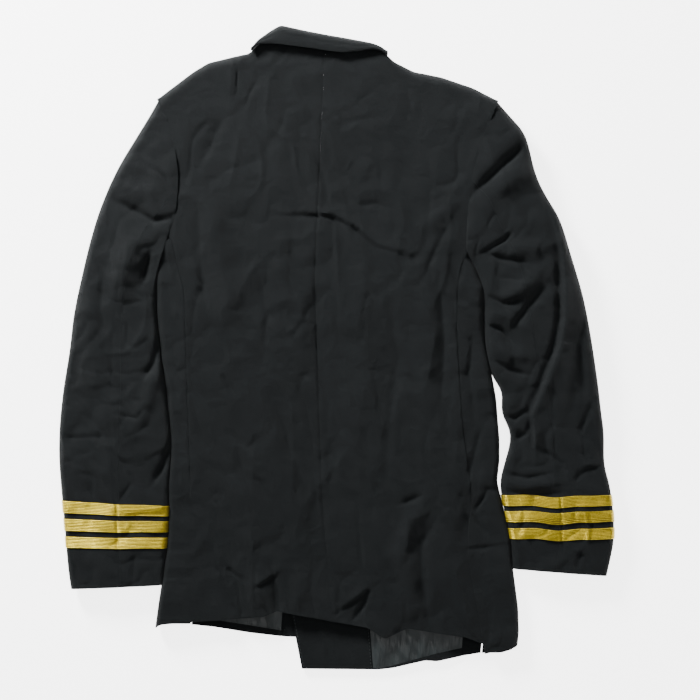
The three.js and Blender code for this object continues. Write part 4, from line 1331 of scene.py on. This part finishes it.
    def build(self) -> None:
        """Make and dress the sleeve."""
        word = self.side.word
        hind = CAP + FLAT * HIND_SEAM
        fore = 3 * CAP + FLAT + FLAT * FORE_SEAM
        gap = 0.0003
        pieces = (
            (f"sleeve_{word}_top", fore + gap, 1 + hind - gap),
            (f"sleeve_{word}_under", hind + gap, fore - gap),
        )
        for node, start, end in pieces:
            piece = self.panel(f"cloth_{node}", start, end)
            settle(piece, self.finishes.wool, (node,))
        for number in range(3):
            ground = self.lace(number)
            # The ground's darker gold is painted shade between the lace threads.
            settle(ground, self.finishes.lace_ground_painted_shade, (f"lace_{word}_{number + 1}",))
            length = surface_area(ground) / 2 / (self.band * MM)
            self.band * MM
            settle(self.lace_threads(number), self.finishes.lace, ())


@dataclass
class Stitching:
    """Lines of stitches on the insides that show."""

    finishes: Finishes
    stitches: ThreadWorks

    def build(self) -> None:
        """Make and dress the stitches along the linings and the facing's edge."""
        paths = []
        v = np.linspace(0.0, 1.0, 60)
        y = mix(-282.0, -388.0, v)
        for share in (0.012, FACING_SHARE - 0.008):
            x = mix(front_edge(Side.RIGHT, y), front_seam(Side.RIGHT, y), share)
            z = right_lift(x, y) + WALL + 0.3 + LINING + 0.15
            paths.append(np.stack([x, y, z], -1))
        x = np.linspace(-160.0, -64.0, 60)
        y = LEFT_HEM(x) + LEFT_TURN(x) + 1.2
        paths.append(np.stack([x, y, left_lift(x, y) + WALL + LINING + 0.5], -1))
        piece = self.stitches.spin("hem_stitches", paths, False, 0.28, 2.2, 4.0)
        settle(piece, self.finishes.satin, ())


@dataclass(frozen=True)
class Studio:
    """Pale floor, soft light and the camera."""

    lens: float = 85.0
    field: float = 0.854
    centre: tuple[float, float] = (0.0161, 0.0)

    def floor(self) -> None:
        """Lay the pale floor."""
        bpy.ops.mesh.primitive_plane_add(size=12.0, location=(0.0, 0.0, -0.0006))
        floor = bpy.context.object
        floor.name = "studio_floor"
        shader = Shader("pale_floor")
        white = (1.0, 1.0, 1.0, 1.0)
        pale = {"Base Color": white, "Roughness": 0.95, "Emission Color": white, "Emission Strength": 4.0}
        floor.data.materials.append(shader.finish(pale))

    def area_light(self, name: str, place: tuple[float, float, float], size: float, energy: float) -> None:
        """Add a soft light that faces the jacket."""
        data = bpy.data.lights.new(name, "AREA")
        data.size = size
        data.energy = energy
        light = bpy.data.objects.new(name, data)
        light.location = place
        light.rotation_euler = (-Vector(place)).to_track_quat("-Z", "Y").to_euler()
        bpy.context.scene.collection.objects.link(light)

    def build(self) -> None:
        """Set up the floor, the lights and the camera."""
        self.floor()
        self.area_light("key_light", (-1.15, 1.6, 0.8), 0.5, 165.0)
        self.area_light("top_light", (0.5, 0.3, 2.6), 1.6, 20.0)
        world = bpy.data.worlds.new("studio")
        world.use_nodes = True
        world.node_tree.nodes["Background"].inputs["Color"].default_value = (1.0, 1.0, 1.0, 1.0)
        world.node_tree.nodes["Background"].inputs["Strength"].default_value = 0.4
        bpy.context.scene.world = world
        data = bpy.data.cameras.new("camera")
        data.lens = self.lens
        data.sensor_width = 36.0
        camera = bpy.data.objects.new("camera", data)
        camera.location = (*self.centre, self.field * self.lens / 36.0 + 0.015)
        bpy.context.scene.collection.objects.link(camera)
        bpy.context.scene.camera = camera


def main() -> None:
    """Build the jacket."""
    logging.basicConfig(level=logging.INFO, format="%(message)s")
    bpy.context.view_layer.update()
    Studio().build()
    finishes = Finishes.make()
    threads = ThreadWorks("lace_thread", False, finishes.lace)
    stitches = ThreadWorks("hem_stitch", True, finishes.satin)
    Body(finishes).build()
    Collar(finishes).build()
    Sleeve(finishes, threads, Side.LEFT, LEFT_SLEEVE_ROWS, LEFT_SLEEVE_FOLDS, 47.0, 0.4).build()
    Sleeve(finishes, threads, Side.RIGHT, RIGHT_SLEEVE_ROWS, RIGHT_SLEEVE_FOLDS, 40.0, 1.6).build()
    Stitching(finishes, stitches).build()
    for row in (1, 2, 3):
        for word in ("left", "right"):
            button = bpy.data.objects[f"button_{row}_{word}"]
            button.data.materials.clear()
            button.data.materials.append(finishes.brass)


if __name__ == "__main__":
    main()
